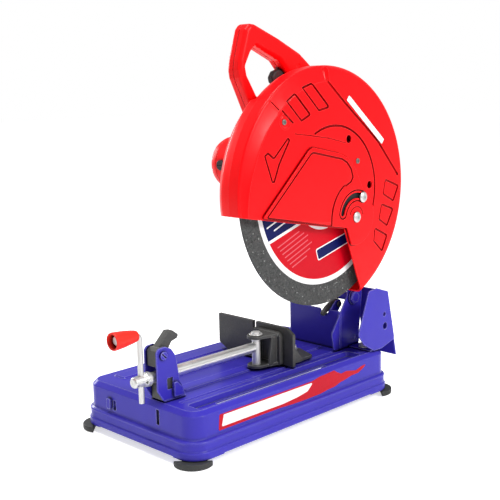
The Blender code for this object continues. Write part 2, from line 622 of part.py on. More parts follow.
def wheel_group():
    low = WHEEL_X - WHEEL_THICK / 2
    high = WHEEL_X + WHEEL_THICK / 2
    spindle = [(0, 1), (7, 1), (7, 9.2), (9, 9.2), (9, 82), (7, 82), (7, 98), (4.3, 98), (4.3, 76), (0, 76)]
    finish(solid(lathe(spindle, "X", SPINDLE, 24)), "spindle", STEEL, SPIN)
    inner = [(7.3, 82.3), (30, 82.3), (38, 87), (38, low - GAP), (12.4, low - GAP), (12.4, high - 0.5)]
    inner += [(7.3, high - 0.5)]
    finish(solid(lathe(inner, "X", SPINDLE)), "inner_flange", STEEL, SPIN)
    wheel = [(ARBOR_RADIUS, low), (WHEEL_RADIUS, low), (WHEEL_RADIUS, high), (ARBOR_RADIUS, high)]
    finish(solid(lathe(wheel, "X", SPINDLE, 72)), "abrasive_wheel", ABRASIVE, SPIN)
    face = high + GAP
    outer = [(7.3, face), (38, face), (38, face + 3), (30, face + 6.5), (7.3, face + 6.5)]
    finish(solid(lathe(outer, "X", SPINDLE)), "outer_flange", STEEL, SPIN)
    seat = face + 6.5 + GAP
    bolt("wheel_bolt", "X", SPINDLE, 78, seat, seat + 6, 4, holder=SPIN, head=10)


def opening():
    """The part of the guard's disc that is left open, below and in front."""
    return [(-150, 336.4), (117, 286.6), (154.6, 191.6), (157, 180), (240, 180), (240, 100), (-150, 100)]


def guard():
    wall = GUARD_WALL
    left = GUARD_LEFT
    rim = GUARD_RADIUS
    body_shape = [(22, left), (rim - 15, left), (rim - 2, left + 19), (rim, GUARD_SEAM)]
    body_shape += [(rim - wall, GUARD_SEAM), (rim - 2 - wall, left + 20), (rim - 16, left + wall), (22, left + wall)]
    cut = [prism(opening(), "X", 30, 130)]
    finish(solid(lathe(body_shape, "X", SPINDLE, 56), cut=cut), "guard_body", RED, HEAD)
    face = GUARD_FACE
    seam = GUARD_SEAM + GAP
    cover = [(rim - wall, seam), (rim, seam), (rim, face - 11), (rim - 2.5, face - 4.5)]
    cover += [(rim - 7, face - 1.2), (rim - 13, face), (0, face), (0, face - wall), (rim - 13.5, face - wall)]
    cover += [(rim - 8.5, face - 3.9), (rim - 5.2, face - 6.3), (rim - wall, face - 11.5)]
    access = hull(SPINDLE, 40, (SPINDLE_Y - 4, 250), 34, 14)
    cut = [
        prism(opening(), "X", 30, 130),
        prism(access, "X", 100, 120),
        rod("X", COVER_PIVOT, 4 + GAP, 100, 120, 14),
        rod("X", COVER_BOLT, 4 + GAP, 100, 120, 14),
    ]
    cut += [rod("X", spot, GUARD_HOLE_RADIUS, 100, 120, 16) for spot in GUARD_HOLES]
    cut += [rod("X", spot, 2 + GAP, 100, 120, 12) for spot in GUARD_SCREWS.values()]
    finish(solid(lathe(cover, "X", SPINDLE, 56), cut=cut), "guard_cover", RED, HEAD)
    for name, spot in GUARD_SCREWS.items():
        bolt(name, "X", spot, 104, face + 0.2, face + 1.1, 2, holder=HEAD, head=4.2)
    seat = COVER_X + COVER_THICK + GAP
    for name, spot in (("access_pivot_bolt", COVER_PIVOT), ("access_lock_bolt", COVER_BOLT)):
        bolt(name, "X", spot, 104, seat, seat + 3.2, 4, holder=HEAD, head=8.5, nut=face - wall - GAP)


def access_cover():
    outline = [(-57, 321.5), (32, 414), (40, 417), (98, 405), (122, 396), (138, 380)]
    outline += arc(COVER_PIVOT, 44, math.radians(65), math.radians(-105), 12)
    outline += [(118, 288.5)]
    slot = band(COVER_PIVOT, COVER_SLOT_RADIUS, 4 + GAP, COVER_BOLT_ANGLE, COVER_SLOT_END)
    cut = [prism(slot, "X", 100, 130), rod("X", COVER_PIVOT, 4 + GAP, 100, 130, 16)]
    shape = prism(outline, "X", COVER_X, COVER_X + COVER_THICK)
    finish(solid(shape, cut=cut), "access_cover", RED, ACCESS)


def handle_cuts():
    """The hand opening, the pockets for the trigger and the switch, and the lock button's hole."""
    window = [(-14, 556), (-4, 566), (47, 544), (66, 524), (62, 508), (30, 496), (8, 488), (-2, 492)]
    window += [(-22, 523), (-25, 536)]
    return [
        prism(window, "X", 0, 60),
        box((24.7, 54, 500), (37.3, 81, 541)),
        box((21.7, 83, 500), (40.3, 107, 535)),
        rod("X", (BUTTON_Y, BUTTON_Z), 5 + GAP, 10, 27, 14),
    ]


def handle():
    outer = [(-12, 470), (-37, 519), (-39, 531), (-37, 545), (-24, 588), (-16, 597), (-4, 596), (46, 577)]
    outer += [(93, 556), (118, 538), (125, 505), (112, 455), (98, 427), (30, 427), (0, 448)]
    left = prism(outer, "X", HANDLE_LEFT, HANDLE_SEAM - 0.2)
    right = prism(outer, "X", HANDLE_SEAM + 0.2, HANDLE_RIGHT)
    finish(solid(left, cut=handle_cuts()), "handle_left", RED, HEAD)
    finish(solid(right, cut=handle_cuts()), "handle_right", RED, HEAD)
    finish(solid(box((22, 83.3, 500.3), (40, 106.7, 534.7))), "switch_body", GREY_PLASTIC, HEAD)
    blade = [(40, 512), (38, 520), (44, 529), (54, 532), (70, 529), (77, 519), (70, 509), (50, 506)]
    finish(solid(prism(blade, "X", 25, 37)), "trigger", GREY_PLASTIC, TRIGGER)
    knob = [(0, 11), (6.5, 11), (6.5, 13.5), (5, 13.5), (5, 23), (0, 23)]
    finish(solid(lathe(knob, "X", (BUTTON_Y, BUTTON_Z), 16)), "lock_button", GREY_PLASTIC, BUTTON)


def power_cord():
    path = [(124, 522), (134, 520), (150, 508), (161, 488), (167, 462), (169, 436)]
    finish(tube([(HANDLE_SEAM, y, z) for y, z in path], 4.5, 10), "power_cord", RUBBER, HEAD)


base_shell()
deck_bolts()
feet()
pivot_bracket()
pivot_shaft()
lift_spring()
spark_deflector()
fence()
vise_bracket()
half_nut_lever()
jaw()
vise_screw()
crank()
lock_hook()
head_arm()
gearbox()
motor()
drive()
wheel_group()
guard()
access_cover()
handle()
power_cord()
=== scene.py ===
"""The looks of an abrasive cut-off saw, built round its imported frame.

Sizes in this file are millimetres. X points to the side of the wheel cover, Y to the rear and Z up.
Y is counted from the middle of the base, which lies SHIFT_Y behind the frame's origin.
"""

import json
import math

import bmesh
import bpy
import numpy as np
from mathutils import Matrix, Vector
from mathutils.geometry import delaunay_2d_cdt

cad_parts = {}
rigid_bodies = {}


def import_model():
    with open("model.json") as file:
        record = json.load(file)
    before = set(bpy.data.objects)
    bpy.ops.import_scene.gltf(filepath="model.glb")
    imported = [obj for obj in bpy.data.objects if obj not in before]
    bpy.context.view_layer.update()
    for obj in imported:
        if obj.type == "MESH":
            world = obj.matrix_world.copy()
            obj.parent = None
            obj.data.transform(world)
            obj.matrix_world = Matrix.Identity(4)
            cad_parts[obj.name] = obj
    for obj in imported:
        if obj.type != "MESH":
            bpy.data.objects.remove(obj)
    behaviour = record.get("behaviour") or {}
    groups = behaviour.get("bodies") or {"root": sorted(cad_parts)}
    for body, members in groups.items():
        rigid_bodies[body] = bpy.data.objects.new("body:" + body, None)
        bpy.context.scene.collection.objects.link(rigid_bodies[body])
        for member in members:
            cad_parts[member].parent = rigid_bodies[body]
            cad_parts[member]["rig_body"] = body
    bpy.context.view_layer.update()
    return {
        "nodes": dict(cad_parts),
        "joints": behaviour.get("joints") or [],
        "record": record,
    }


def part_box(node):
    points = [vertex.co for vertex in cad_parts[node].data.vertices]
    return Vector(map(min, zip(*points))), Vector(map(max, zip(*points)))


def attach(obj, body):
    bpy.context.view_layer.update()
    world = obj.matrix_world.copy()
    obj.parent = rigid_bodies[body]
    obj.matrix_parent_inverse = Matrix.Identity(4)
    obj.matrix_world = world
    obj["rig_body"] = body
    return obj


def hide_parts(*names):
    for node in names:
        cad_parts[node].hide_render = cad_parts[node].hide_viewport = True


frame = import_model()

MM = 0.001
SHIFT_Y = 10.0
ROUND = 72  # sides of a round piece


def joint_spot(name):
    """Where a hinge's axis is, in this file's millimetres."""
    joint = next(j for j in frame["joints"] if j["name"] == name)
    x, y, z = (value / MM for value in joint["pos_m"])
    return x, y - SHIFT_Y, z


SPINDLE = joint_spot("wheel_spin")[1:]
MOTOR = joint_spot("motor_spin")[1:]
PIVOT = joint_spot("head_tilt")[1:]
COVER_PIVOT = joint_spot("access_cover_swing")[1:]
FENCE_PIVOT = joint_spot("fence_angle")[:2]
JAW_PIN = joint_spot("jaw_swivel")[:2]
VISE_X, CRANK_Y, SCREW_Z = joint_spot("screw_spin")
GRIP_Z = joint_spot("grip_spin")[2]
LEVER_PIN = joint_spot("half_nut_release")[1:]
HOOK_PIN = joint_spot("lock_hook_swing")[1:]
SCREW_LINE = (VISE_X, SCREW_Z)

WHEEL_X, WHEEL_RADIUS, WHEEL_THICK = 94.0, 177.5, 3.2
GUARD_RADIUS, GUARD_LEFT, GUARD_SEAM, GUARD_FACE, GUARD_WALL = 187.0, 46.5, 83.0, 112.0, 2.6
COVER_LOW, COVER_TOP = 113.4, 116.2
BASE_HALF_X, BASE_HALF_Y, BASE_CORNER, DECK_Z = 121.5, 215.5, 25.0, 76.5
SKIRT_BOTTOM, PAD_BOTTOM = 9.0, 13.6
FOOT_MIDDLE, FOOT_RADIUS, FOOT_BACK = (105.0, 202.0), 28.5, 9.0
FENCE_BOTTOM, FENCE_TOP = 79.0, 139.5
HANDLE_LEFT, HANDLE_SEAM, HANDLE_RIGHT = 17.0, 31.0, 46.0


# ---------------------------------------------------------------- outlines
def place(axis, u, v, w):
    """A point with u, v in the plane across axis, and w along it."""
    return {"X": (w, u, v), "Y": (u, w, v), "Z": (u, v, w)}[axis]


def arc(centre, radius, start, end, steps):
    """Points along an arc, angles in degrees."""
    turns = np.radians(np.linspace(start, end, steps + 1))
    return [(centre[0] + radius * math.cos(t), centre[1] + radius * math.sin(t)) for t in turns]


def circle(centre, radius, steps=40):
    return arc(centre, radius, 0, 360, steps)[:-1]


def rounded(points, radius, steps=5, closed=True):
    """The same line with each corner turned into an arc of the radius, or less where a side is short."""
    pts = [Vector(p) for p in points]
    made = []
    for i, corner in enumerate(pts):
        if not closed and i in (0, len(pts) - 1):
            made.append(tuple(corner))
            continue
        back, ahead = pts[i - 1] - corner, pts[(i + 1) % len(pts)] - corner
        half = back.angle(ahead) / 2
        if half > 1.55 or half < 0.02:
            made.append(tuple(corner))
            continue
        reach = min(radius / math.tan(half), 0.48 * back.length, 0.48 * ahead.length)
        actual = reach * math.tan(half)
        start, end = corner + back.normalized() * reach, corner + ahead.normalized() * reach
        centre = corner + (back.normalized() + ahead.normalized()).normalized() * (actual / math.sin(half))
        first = math.atan2(start.y - centre.y, start.x - centre.x)
        turn = math.atan2(end.y - centre.y, end.x - centre.x) - first
        turn = (turn + math.pi) % (2 * math.pi) - math.pi
        for k in range(steps + 1):
            angle = first + turn * k / steps
            made.append((centre.x + actual * math.cos(angle), centre.y + actual * math.sin(angle)))
    return made


def hull(first, first_radius, second, second_radius, steps=24):
    """The outline of a belt round two circles."""
    apart = Vector(second) - Vector(first)
    lean = math.degrees(math.atan2(apart.y, apart.x))
    spread = math.degrees(math.acos((first_radius - second_radius) / apart.length))
    return arc(first, first_radius, lean + spread, lean + 360 - spread, steps) + arc(
        second, second_radius, lean - spread, lean + spread, steps
    )


def band(centre, radius, half_width, start, end, steps=18):
    """The outline of a slot along an arc, with round ends; angles in degrees."""
    head = arc(centre, radius, end, end, 1)[0]
    tail = arc(centre, radius, start, start, 1)[0]
    return (
        arc(centre, radius + half_width, start, end, steps)
        + arc(head, half_width, end, end + 180, 10)[1:-1]
        + arc(centre, radius - half_width, end, start, steps)
        + arc(tail, half_width, start + 180, start + 360, 10)[1:-1]
    )


def bar(start, end, half_width):
    """A straight strip from start to end, with round ends."""
    lean = math.degrees(math.atan2(end[1] - start[1], end[0] - start[0]))
    return arc(end, half_width, lean - 90, lean + 90, 6) + arc(start, half_width, lean + 90, lean + 270, 6)


def inset(loop, distance):
    """The loop moved to its left by distance."""
    pts = np.array(loop, float)
    ahead = np.roll(pts, -1, 0) - pts
    ahead /= np.maximum(np.linalg.norm(ahead, axis=1), 1e-9)[:, None]
    left = np.stack([-ahead[:, 1], ahead[:, 0]], 1)
    both = left + np.roll(left, 1, 0)
    both /= np.maximum(np.linalg.norm(both, axis=1), 1e-9)[:, None]
    stretch = 1 / np.maximum((both * left).sum(1), 0.5)
    return [tuple(p) for p in pts + both * (distance * stretch)[:, None]]


def turned(loop, left_inside=True):
    """The loop in the order that has its inside on the left, or on the right."""
    pts = np.array(loop, float)
    nxt = np.roll(pts, -1, 0)
    area = (pts[:, 0] * nxt[:, 1] - nxt[:, 0] * pts[:, 1]).sum()
    return list(loop) if (area > 0) == left_inside else list(loop)[::-1]


def depth_inside(points, loops):
    """How far each point is inside the shape that the loops bound; negative outside."""
    points = np.asarray(points, float)
    best = np.full(len(points), 1e9)
    inside = np.zeros(len(points), bool)
    for loop in loops:
        a = np.array(loop, float)
        b = np.roll(a, -1, 0)
        along = b - a
        from_a = points[:, None, :] - a[None]
        share = np.clip((from_a * along).sum(-1) / np.maximum((along * along).sum(-1), 1e-12), 0, 1)
        gap = from_a - share[..., None] * along
        best = np.minimum(best, np.sqrt((gap * gap).sum(-1)).min(1))
        above = (a[:, 1] > points[:, None, 1]) != (b[:, 1] > points[:, None, 1])
        rise = np.where(np.abs(along[:, 1]) < 1e-12, 1e-12, along[:, 1])
        left = points[:, None, 0] < along[:, 0] * (points[:, None, 1] - a[:, 1]) / rise + a[:, 0]
        inside ^= (above & left).sum(1) % 2 == 1
    return np.where(inside, best, -best)


def triangles(loops, lines):
    """Triangles that fill the loops, with every loop and every closed line among their edges."""
    points, edges = [], []
    for line in list(loops) + list(lines):
        first = len(points)
        points += [Vector(p) for p in line]
        edges += [(first + i, first + (i + 1) % len(line)) for i in range(len(line))]
    found = delaunay_2d_cdt(points, edges, [], 0, 1e-4)
    flat = np.array([tuple(p) for p in found[0]])
    faces = np.array([tuple(f) for f in found[2]])
    centres = flat[faces].mean(1)
    faces = faces[depth_inside(centres, loops) > 0]
    used, faces = np.unique(faces, return_inverse=True)
    return flat[used], faces.reshape(-1, 3)


def border(faces):
    """The directed edges that only one face uses."""
    edges = {}
    for face in faces:
        for i in range(len(face)):
            pair = (face[i], face[(i + 1) % len(face)])
            edges[frozenset(pair)] = None if frozenset(pair) in edges else pair
    return [pair for pair in edges.values() if pair]


# ---------------------------------------------------------------- solids, each (points, faces)
def edge_lines(loops, radius, steps):
    """Lines inside the loops, where a rounded edge of the radius has its corners."""
    lines = []
    for i, loop in enumerate(loops):
        ordered = turned(loop, left_inside=i == 0)
        for k in range(1, steps + 1):
            lines.append(inset(ordered, radius * (1 - math.cos(k * math.pi / 2 / steps))))
    return lines


def edge_drop(depth, radius):
    """How far a rounded edge lies below the face, at a depth inside the outline."""
    if radius <= 0:
        return np.zeros(len(depth))
    near = np.clip(depth, 0, radius)
    return radius - np.sqrt(np.maximum(radius**2 - (radius - near) ** 2, 0))


def relief_height(flat, relief):
    """Height above the face. Where grooves cross, they go no deeper than the deepest of them."""
    total = np.zeros(len(flat))
    for loop, slope, height in relief:
        total += height * np.clip(depth_inside(flat, [loop]) / slope, 0, 1)
    return np.maximum(total, min([height for _, _, height in relief], default=0))


def relief_lines(relief):
    lines = []
    for loop, slope, _ in relief:
        ordered = turned(loop)
        lines += [ordered, inset(ordered, slope)]
    return lines


def slab(loops, axis, low, high, edge=0.6, low_edge=None, steps=3, relief=(), low_relief=()):
    """A flat solid with rounded edges. The first loop is its outline, and the others are holes.
    Each relief entry is (outline, width of its slope, height above the face)."""
    low_edge = edge if low_edge is None else low_edge
    lines = edge_lines(loops, edge, steps) if edge > 0 else []
    if low_edge > 0 and low_edge != edge:
        lines += edge_lines(loops, low_edge, steps)
    lines += relief_lines(relief) + relief_lines(low_relief)
    flat, faces = triangles(loops, lines)
    depth = depth_inside(flat, loops)
    top = high - edge_drop(depth, edge) + relief_height(flat, relief)
    bottom = low + edge_drop(depth, low_edge) - relief_height(flat, low_relief)
    count = len(flat)
    points = [place(axis, u, v, w) for (u, v), w in zip(flat, top)]
    points += [place(axis, u, v, w) for (u, v), w in zip(flat, bottom)]
    made = [tuple(f) for f in faces] + [tuple(f[::-1] + count) for f in faces]
    made += [(a, a + count, b + count, b) for a, b in border(faces)]
    return points, made


def lathe(profile, axis, centre=(0.0, 0.0), edge=0.5, sides=ROUND, steps=3):
    """A profile of (radius, place along axis) turned about axis; one that starts off the axis is closed."""
    ring_closed = profile[0][0] > 0
    line = rounded(profile, edge, steps, closed=ring_closed) if edge > 0 else profile
    turns = [2 * math.pi * i / sides for i in range(sides)]
    points, rows = [], []
    for radius, along in line:
        used = turns if radius > 1e-6 else [0.0]
        rows.append(list(range(len(points), len(points) + len(used))))
        ring = [(centre[0] + radius * math.cos(t), centre[1] + radius * math.sin(t)) for t in used]
        points += [place(axis, u, v, along) for u, v in ring]
    pairs = list(zip(rows, rows[1:])) + ([(rows[-1], rows[0])] if ring_closed else [])
    return points, [face for first, second in pairs for face in strip(first, second)]


def strip(first, second):
    """Faces between two rings; a ring of one point is a tip."""
    count = max(len(first), len(second))
    faces = []
    for i in range(count if count > 1 else 0):
        j = (i + 1) % count
        corners = ((first, i), (first, j), (second, j), (second, i))
        faces.append(tuple(dict.fromkeys(ring[k % len(ring)] for ring, k in corners)))
    return faces


def rod(axis, centre, radius, low, high, edge=0.6, sides=ROUND):
    return lathe([(0, low), (radius, low), (radius, high), (0, high)], axis, centre, edge, sides)


def box(low, high, edge=0.6):
    loop = [(low[0], low[1]), (high[0], low[1]), (high[0], high[1]), (low[0], high[1])]
    return slab([rounded(loop, edge, 3)], "Z", low[2], high[2], edge)


def tube(points, radius, sides=16):
    """A round bar along a path of points."""
    path = [Vector(p) for p in points]
    side = None
    made, rows = [], []
    for i, spot in enumerate(path):
        ahead = (path[min(i + 1, len(path) - 1)] - path[max(i - 1, 0)]).normalized()
        side = side or ahead.orthogonal()
        side = (side - ahead * side.dot(ahead)).normalized()
        other = ahead.cross(side)
        rows.append(list(range(len(made), len(made) + sides)))
        for k in range(sides):
            t = 2 * math.pi * k / sides
            made.append(tuple(spot + side * radius * math.cos(t) + other * radius * math.sin(t)))
    faces = [face for first, second in zip(rows, rows[1:]) for face in strip(first, second)]
    return made, faces + [tuple(rows[0][::-1]), tuple(rows[-1])]


def smooth_path(points, steps=8):
    """A Catmull-Rom line through the points."""
    pts = [Vector(p) for p in points]
    pts = [pts[0] * 2 - pts[1]] + pts + [pts[-1] * 2 - pts[-2]]
    made = []
    for a, b, c, d in zip(pts, pts[1:], pts[2:], pts[3:]):
        for k in range(steps):
            t = k / steps
            square, cube = a * 2 - b * 5 + c * 4 - d, b * 3 - a - c * 3 + d
            made.append((b * 2 + (c - a) * t + square * t**2 + cube * t**3) / 2)
    return made + [pts[-2]]


# ---------------------------------------------------------------- pieces
def link(name, solids, paints):
    """One mesh object from several solids; each solid is (points, faces) or (points, faces, paint number)."""
    points, faces, numbers = [], [], []
    for solid in solids:
        first = len(points)
        points += [(x * MM, (y + SHIFT_Y) * MM, z * MM) for x, y, z in solid[0]]
        faces += [tuple(int(i) + first for i in face) for face in solid[1]]
        numbers += [solid[2] if len(solid) > 2 else 0] * len(solid[1])
    mesh = bpy.data.meshes.new(name)
    mesh.from_pydata(points, [], faces)
    for paint in paints:
        mesh.materials.append(paint)
    mesh.polygons.foreach_set("material_index", numbers)
    made = bpy.data.objects.new(name, mesh)
    bpy.context.scene.collection.objects.link(made)
    return made


def outward(mesh):
    bm = bmesh.new()
    bm.from_mesh(mesh)
    bmesh.ops.remove_doubles(bm, verts=bm.verts, dist=2e-7)
    bmesh.ops.recalc_face_normals(bm, faces=bm.faces)
    bm.to_mesh(mesh)
    bm.free()


def shade(made, angle=38.0):
    made.data.shade_smooth()
    made.data.set_sharp_from_angle(angle=math.radians(angle))
    weighted = made.modifiers.new("weighted", "WEIGHTED_NORMAL")
    weighted.keep_sharp = True


def cut_with(made, solids):
    """Cuts the solids out of a piece."""
    for solid in solids:
        tool = link("tool", [solid], [])
        outward(tool.data)
        step = made.modifiers.new("cut", "BOOLEAN")
        step.operation = "DIFFERENCE"
        step.solver = "EXACT"
        step.object = tool
        graph = bpy.context.evaluated_depsgraph_get()
        result = bpy.data.meshes.new_from_object(made.evaluated_get(graph))
        made.modifiers.clear()
        made.data = result
        bpy.data.objects.remove(tool, do_unlink=True)


SLOTS = {row["node"]: row["material_slot"] for row in frame["record"]["subparts"]}


def look(node, solids, paints=None, cut=(), angle=38.0, stands_for=()):
    """The shown piece for a CAD node."""
    paints = paints or [PAINTS[SLOTS[node]]]
    made = link(f"{node}_skin", solids, paints)
    outward(made.data)
    cut_with(made, cut)
    shade(made, angle)
    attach(made, frame["nodes"][node]["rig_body"])
    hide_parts(node, *stands_for)
    return made


def extra(name, body, solids, paints, angle=38.0):
    """A shown piece that stands for no CAD node."""
    made = link(name, solids, paints)
    outward(made.data)
    shade(made, angle)
    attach(made, body)
    return made


# ---------------------------------------------------------------- materials
class Nodes:
    """A material's node tree, with short calls for the nodes used here."""

    def __init__(self, name):
        self.material = bpy.data.materials.new(name)
        self.material.use_nodes = True
        self.tree = self.material.node_tree
        self.shader = self.tree.nodes["Principled BSDF"]
        self.coords = self.tree.nodes.new("ShaderNodeTexCoord").outputs["Object"]

    def put(self, target, value):
        if isinstance(value, bpy.types.NodeSocket):
            self.tree.links.new(value, target)
        else:
            target.default_value = value

    def node(self, kind, settings=None, **inputs):
        made = self.tree.nodes.new(kind)
        for key, value in (settings or {}).items():
            setattr(made, key, value)
        for key, value in inputs.items():
            self.put(made.inputs[key.replace("_", " ")], value)
        return made

    def maths(self, operation, first, second=0.0):
        made = self.node("ShaderNodeMath", {"operation": operation})
        self.put(made.inputs[0], first)
        self.put(made.inputs[1], second)
        return made.outputs[0]

    def stretch(self, scale):
        made = self.node("ShaderNodeMapping", Vector=self.coords)
        made.inputs["Scale"].default_value = scale
        return made.outputs[0]

    def noise(self, scale, detail=3.0, roughness=0.55, where=None):
        made = self.node(
            "ShaderNodeTexNoise", Vector=where or self.coords, Scale=scale, Detail=detail, Roughness=roughness
        )
        return made.outputs["Fac"]

    def between(self, value, low, high, to_low=0.0, to_high=1.0):
        """value moved from low..high to to_low..to_high, and kept inside."""
        made = self.node("ShaderNodeMapRange", Value=value)
        for key, number in (("From Min", low), ("From Max", high), ("To Min", to_low), ("To Max", to_high)):
            made.inputs[key].default_value = number
        return made.outputs["Result"]

    def mix(self, share, first, second):
        made = self.node("ShaderNodeMix", {"data_type": "RGBA"})
        self.put(made.inputs[0], share)
        self.put(made.inputs[6], first)
        self.put(made.inputs[7], second)
        return made.outputs[2]

    def bump(self, height, strength, distance):
        made = self.node("ShaderNodeBump", Height=height, Strength=strength, Distance=distance)
        return made.outputs["Normal"]

    def edges(self, radius):
        """1 at edges and 0 on flat faces."""
        soft = self.node("ShaderNodeBevel", {"samples": 4}, Radius=radius).outputs[0]
        flat = self.node("ShaderNodeNewGeometry").outputs["Normal"]
        dot = self.node("ShaderNodeVectorMath", {"operation": "DOT_PRODUCT"})
        self.put(dot.inputs[0], soft)
        self.put(dot.inputs[1], flat)
        return self.between(dot.outputs["Value"], 0.80, 0.99, 1.0, 0.0)

    def painted_crevice_shade(self, distance):
        """Towards 1 in grooves and inside corners, where little light comes; it masks painted shade."""
        open_sky = self.node("ShaderNodeAmbientOcclusion", {"samples": 8}, Distance=distance).outputs["AO"]
        return self.between(open_sky, 0.56, 0.94, 0.96, 0.0)


def colour(rgb, factor=1.0):
    return tuple(min(1.0, c * factor) for c in rgb) + (1.0,)


def coated(name, rgb, rough=0.32, shine=0.2, vary=0.05, grain=900.0, strength=0.06, edge=0.25, width=1.3):
    """Paint or moulded plastic: slight mottling, orange peel or grain, a painted highlight that makes edges a
    little lighter, and painted shade that darkens grooves and inside corners.
    """
    n = Nodes(name)
    cloud = n.noise(14.0, 5.0)
    fine = n.noise(160.0, 4.0)
    base = n.mix(n.between(cloud, 0.35, 0.65), colour(rgb, 1 - vary), colour(rgb, 1 + vary))
    specks = n.between(n.noise(700.0, 2.0), 0.66, 0.74)
    base = n.mix(n.maths("MULTIPLY", specks, 0.03), base, colour(rgb, 0.8))
    # Painted highlight: edges lightened towards a paler tint of the colour, as if they caught the light.
    edge_highlight = n.maths("MULTIPLY", n.edges(width * MM), n.between(fine, 0.3, 0.6, 0.8, 1.0))
    light = tuple(c + (1 - c) * 0.3 for c in rgb) + (1.0,)
    base = n.mix(n.maths("MULTIPLY", edge_highlight, edge), base, light)
    # Painted shade: grooves and inside corners darkened towards a deep tone of the colour.
    n.put(n.shader.inputs["Base Color"], n.mix(n.painted_crevice_shade(0.005), base, colour(rgb, 0.08)))
    n.put(n.shader.inputs["Roughness"], n.between(fine, 0.2, 0.8, rough - 0.03, rough + 0.04))
    n.put(n.shader.inputs["Specular IOR Level"], shine)
    n.put(n.shader.inputs["Normal"], n.bump(n.noise(grain, 3.0), strength, 0.0004))
    return n.material


def cast(name, rgb, rough=0.55, metallic=0.5, strength=0.35, grain=420.0, edge=0.3):
    """Cast metal: a pitted surface, darker in the pits, with a painted highlight that makes the edges
    lighter.
    """
    n = Nodes(name)
    pits = n.noise(grain, 6.0, 0.65)
    cloud = n.noise(22.0, 4.0)
    base = n.mix(n.between(pits, 0.3, 0.7), colour(rgb, 0.75), colour(rgb, 1.2))
    base = n.mix(n.between(cloud, 0.4, 0.7, 0.0, 0.35), base, colour(rgb, 1.35))
    # Painted highlight: edges lightened towards a paler tint of the colour.
    edge_highlight = n.maths("MULTIPLY", n.edges(0.0014), edge)
    light = tuple(c + (1 - c) * 0.3 for c in rgb) + (1.0,)
    n.put(n.shader.inputs["Base Color"], n.mix(edge_highlight, base, light))
    n.put(n.shader.inputs["Metallic"], metallic)
    n.put(n.shader.inputs["Roughness"], n.between(cloud, 0.2, 0.8, rough - 0.1, rough + 0.12))
    n.put(n.shader.inputs["Normal"], n.bump(pits, strength, 0.0006))
    return n.material


def machined(name, rgb, streak=(40.0, 900.0, 900.0), rough=0.22, metallic=1.0):
    """Turned or plated metal, with fine streaks and a trace of handling."""
    n = Nodes(name)
    lines = n.noise(1.0, 4.0, 0.6, n.stretch(streak))
    smear = n.noise(30.0, 4.0)
    base = n.mix(n.between(lines, 0.3, 0.7), colour(rgb, 0.82), colour(rgb, 1.1))
    base = n.mix(n.between(smear, 0.55, 0.75, 0.0, 0.25), base, colour(rgb, 0.7))
    n.put(n.shader.inputs["Base Color"], base)
    n.put(n.shader.inputs["Metallic"], metallic)
    rough_lines = n.between(lines, 0.2, 0.8, rough - 0.07, rough + 0.1)
    n.put(n.shader.inputs["Roughness"], n.maths("ADD", rough_lines, n.between(smear, 0.5, 0.8, 0.0, 0.1)))
    n.put(n.shader.inputs["Normal"], n.bump(lines, 0.12, 0.0002))
    return n.material


def rubbery(name, rgb):
    n = Nodes(name)
    fine = n.noise(1300.0, 3.0)
    dust = n.noise(60.0, 5.0)
    dusty = n.between(dust, 0.5, 0.8, 0.0, 0.5)
    n.put(n.shader.inputs["Base Color"], n.mix(dusty, colour(rgb), colour(rgb, 1.9)))
    n.put(n.shader.inputs["Roughness"], n.between(dust, 0.3, 0.7, 0.5, 0.72))
    n.put(n.shader.inputs["Normal"], n.bump(fine, 0.3, 0.0003))
    return n.material


def bonded_grain(name):
    """Abrasive grit in dark resin: single grains, a few of them painted bright as glints, over a woven glass
    net.
    """
    n = Nodes(name)
    cells = n.node("ShaderNodeTexVoronoi", Vector=n.coords, Scale=520.0)
    tone = n.node("ShaderNodeSeparateColor", Color=cells.outputs["Color"]).outputs[0]
    net = n.node("ShaderNodeTexVoronoi", {"distance": "CHEBYCHEV"}, Vector=n.coords, Scale=210.0)
    base = n.mix(n.between(tone, 0.0, 1.0), (0.014, 0.015, 0.015, 1), (0.075, 0.078, 0.076, 1))
    base = n.mix(n.between(n.noise(90.0, 4.0), 0.45, 0.7, 0.0, 0.5), base, (0.035, 0.035, 0.036, 1))
    # Painted glints: a few grains lightened to a pale grey.
    base = n.mix(n.between(tone, 0.972, 0.99), base, (0.26, 0.27, 0.26, 1))
    base = n.mix(n.between(net.outputs["Distance"], 0.3, 0.6, 0.0, 0.25), base, (0.1, 0.1, 0.1, 1))
    n.put(n.shader.inputs["Base Color"], base)
    n.put(n.shader.inputs["Roughness"], n.between(tone, 0.0, 1.0, 0.7, 0.95))
    height = n.maths("ADD", cells.outputs["Distance"], n.noise(1100.0, 2.0))
    n.put(n.shader.inputs["Normal"], n.bump(height, 0.6, 0.0006))
    return n.material


def printed(name, rgb, rough=0.4):
    """Printed film or label card: faint fibre and ink mottling."""
    n = Nodes(name)
    fibre = n.noise(1.0, 3.0, 0.6, n.stretch((900.0, 900.0, 300.0)))
    base = n.mix(n.between(fibre, 0.3, 0.7), colour(rgb, 0.93), colour(rgb, 1.05))
    faded = n.between(n.noise(45.0), 0.4, 0.8, 0.0, 0.2)
    n.put(n.shader.inputs["Base Color"], n.mix(faded, base, colour(rgb, 0.85)))
    n.put(n.shader.inputs["Roughness"], n.between(fibre, 0.2, 0.8, rough - 0.05, rough + 0.1))
    n.put(n.shader.inputs["Specular IOR Level"], 0.15)
    n.put(n.shader.inputs["Normal"], n.bump(fibre, 0.05, 0.0002))
    return n.material


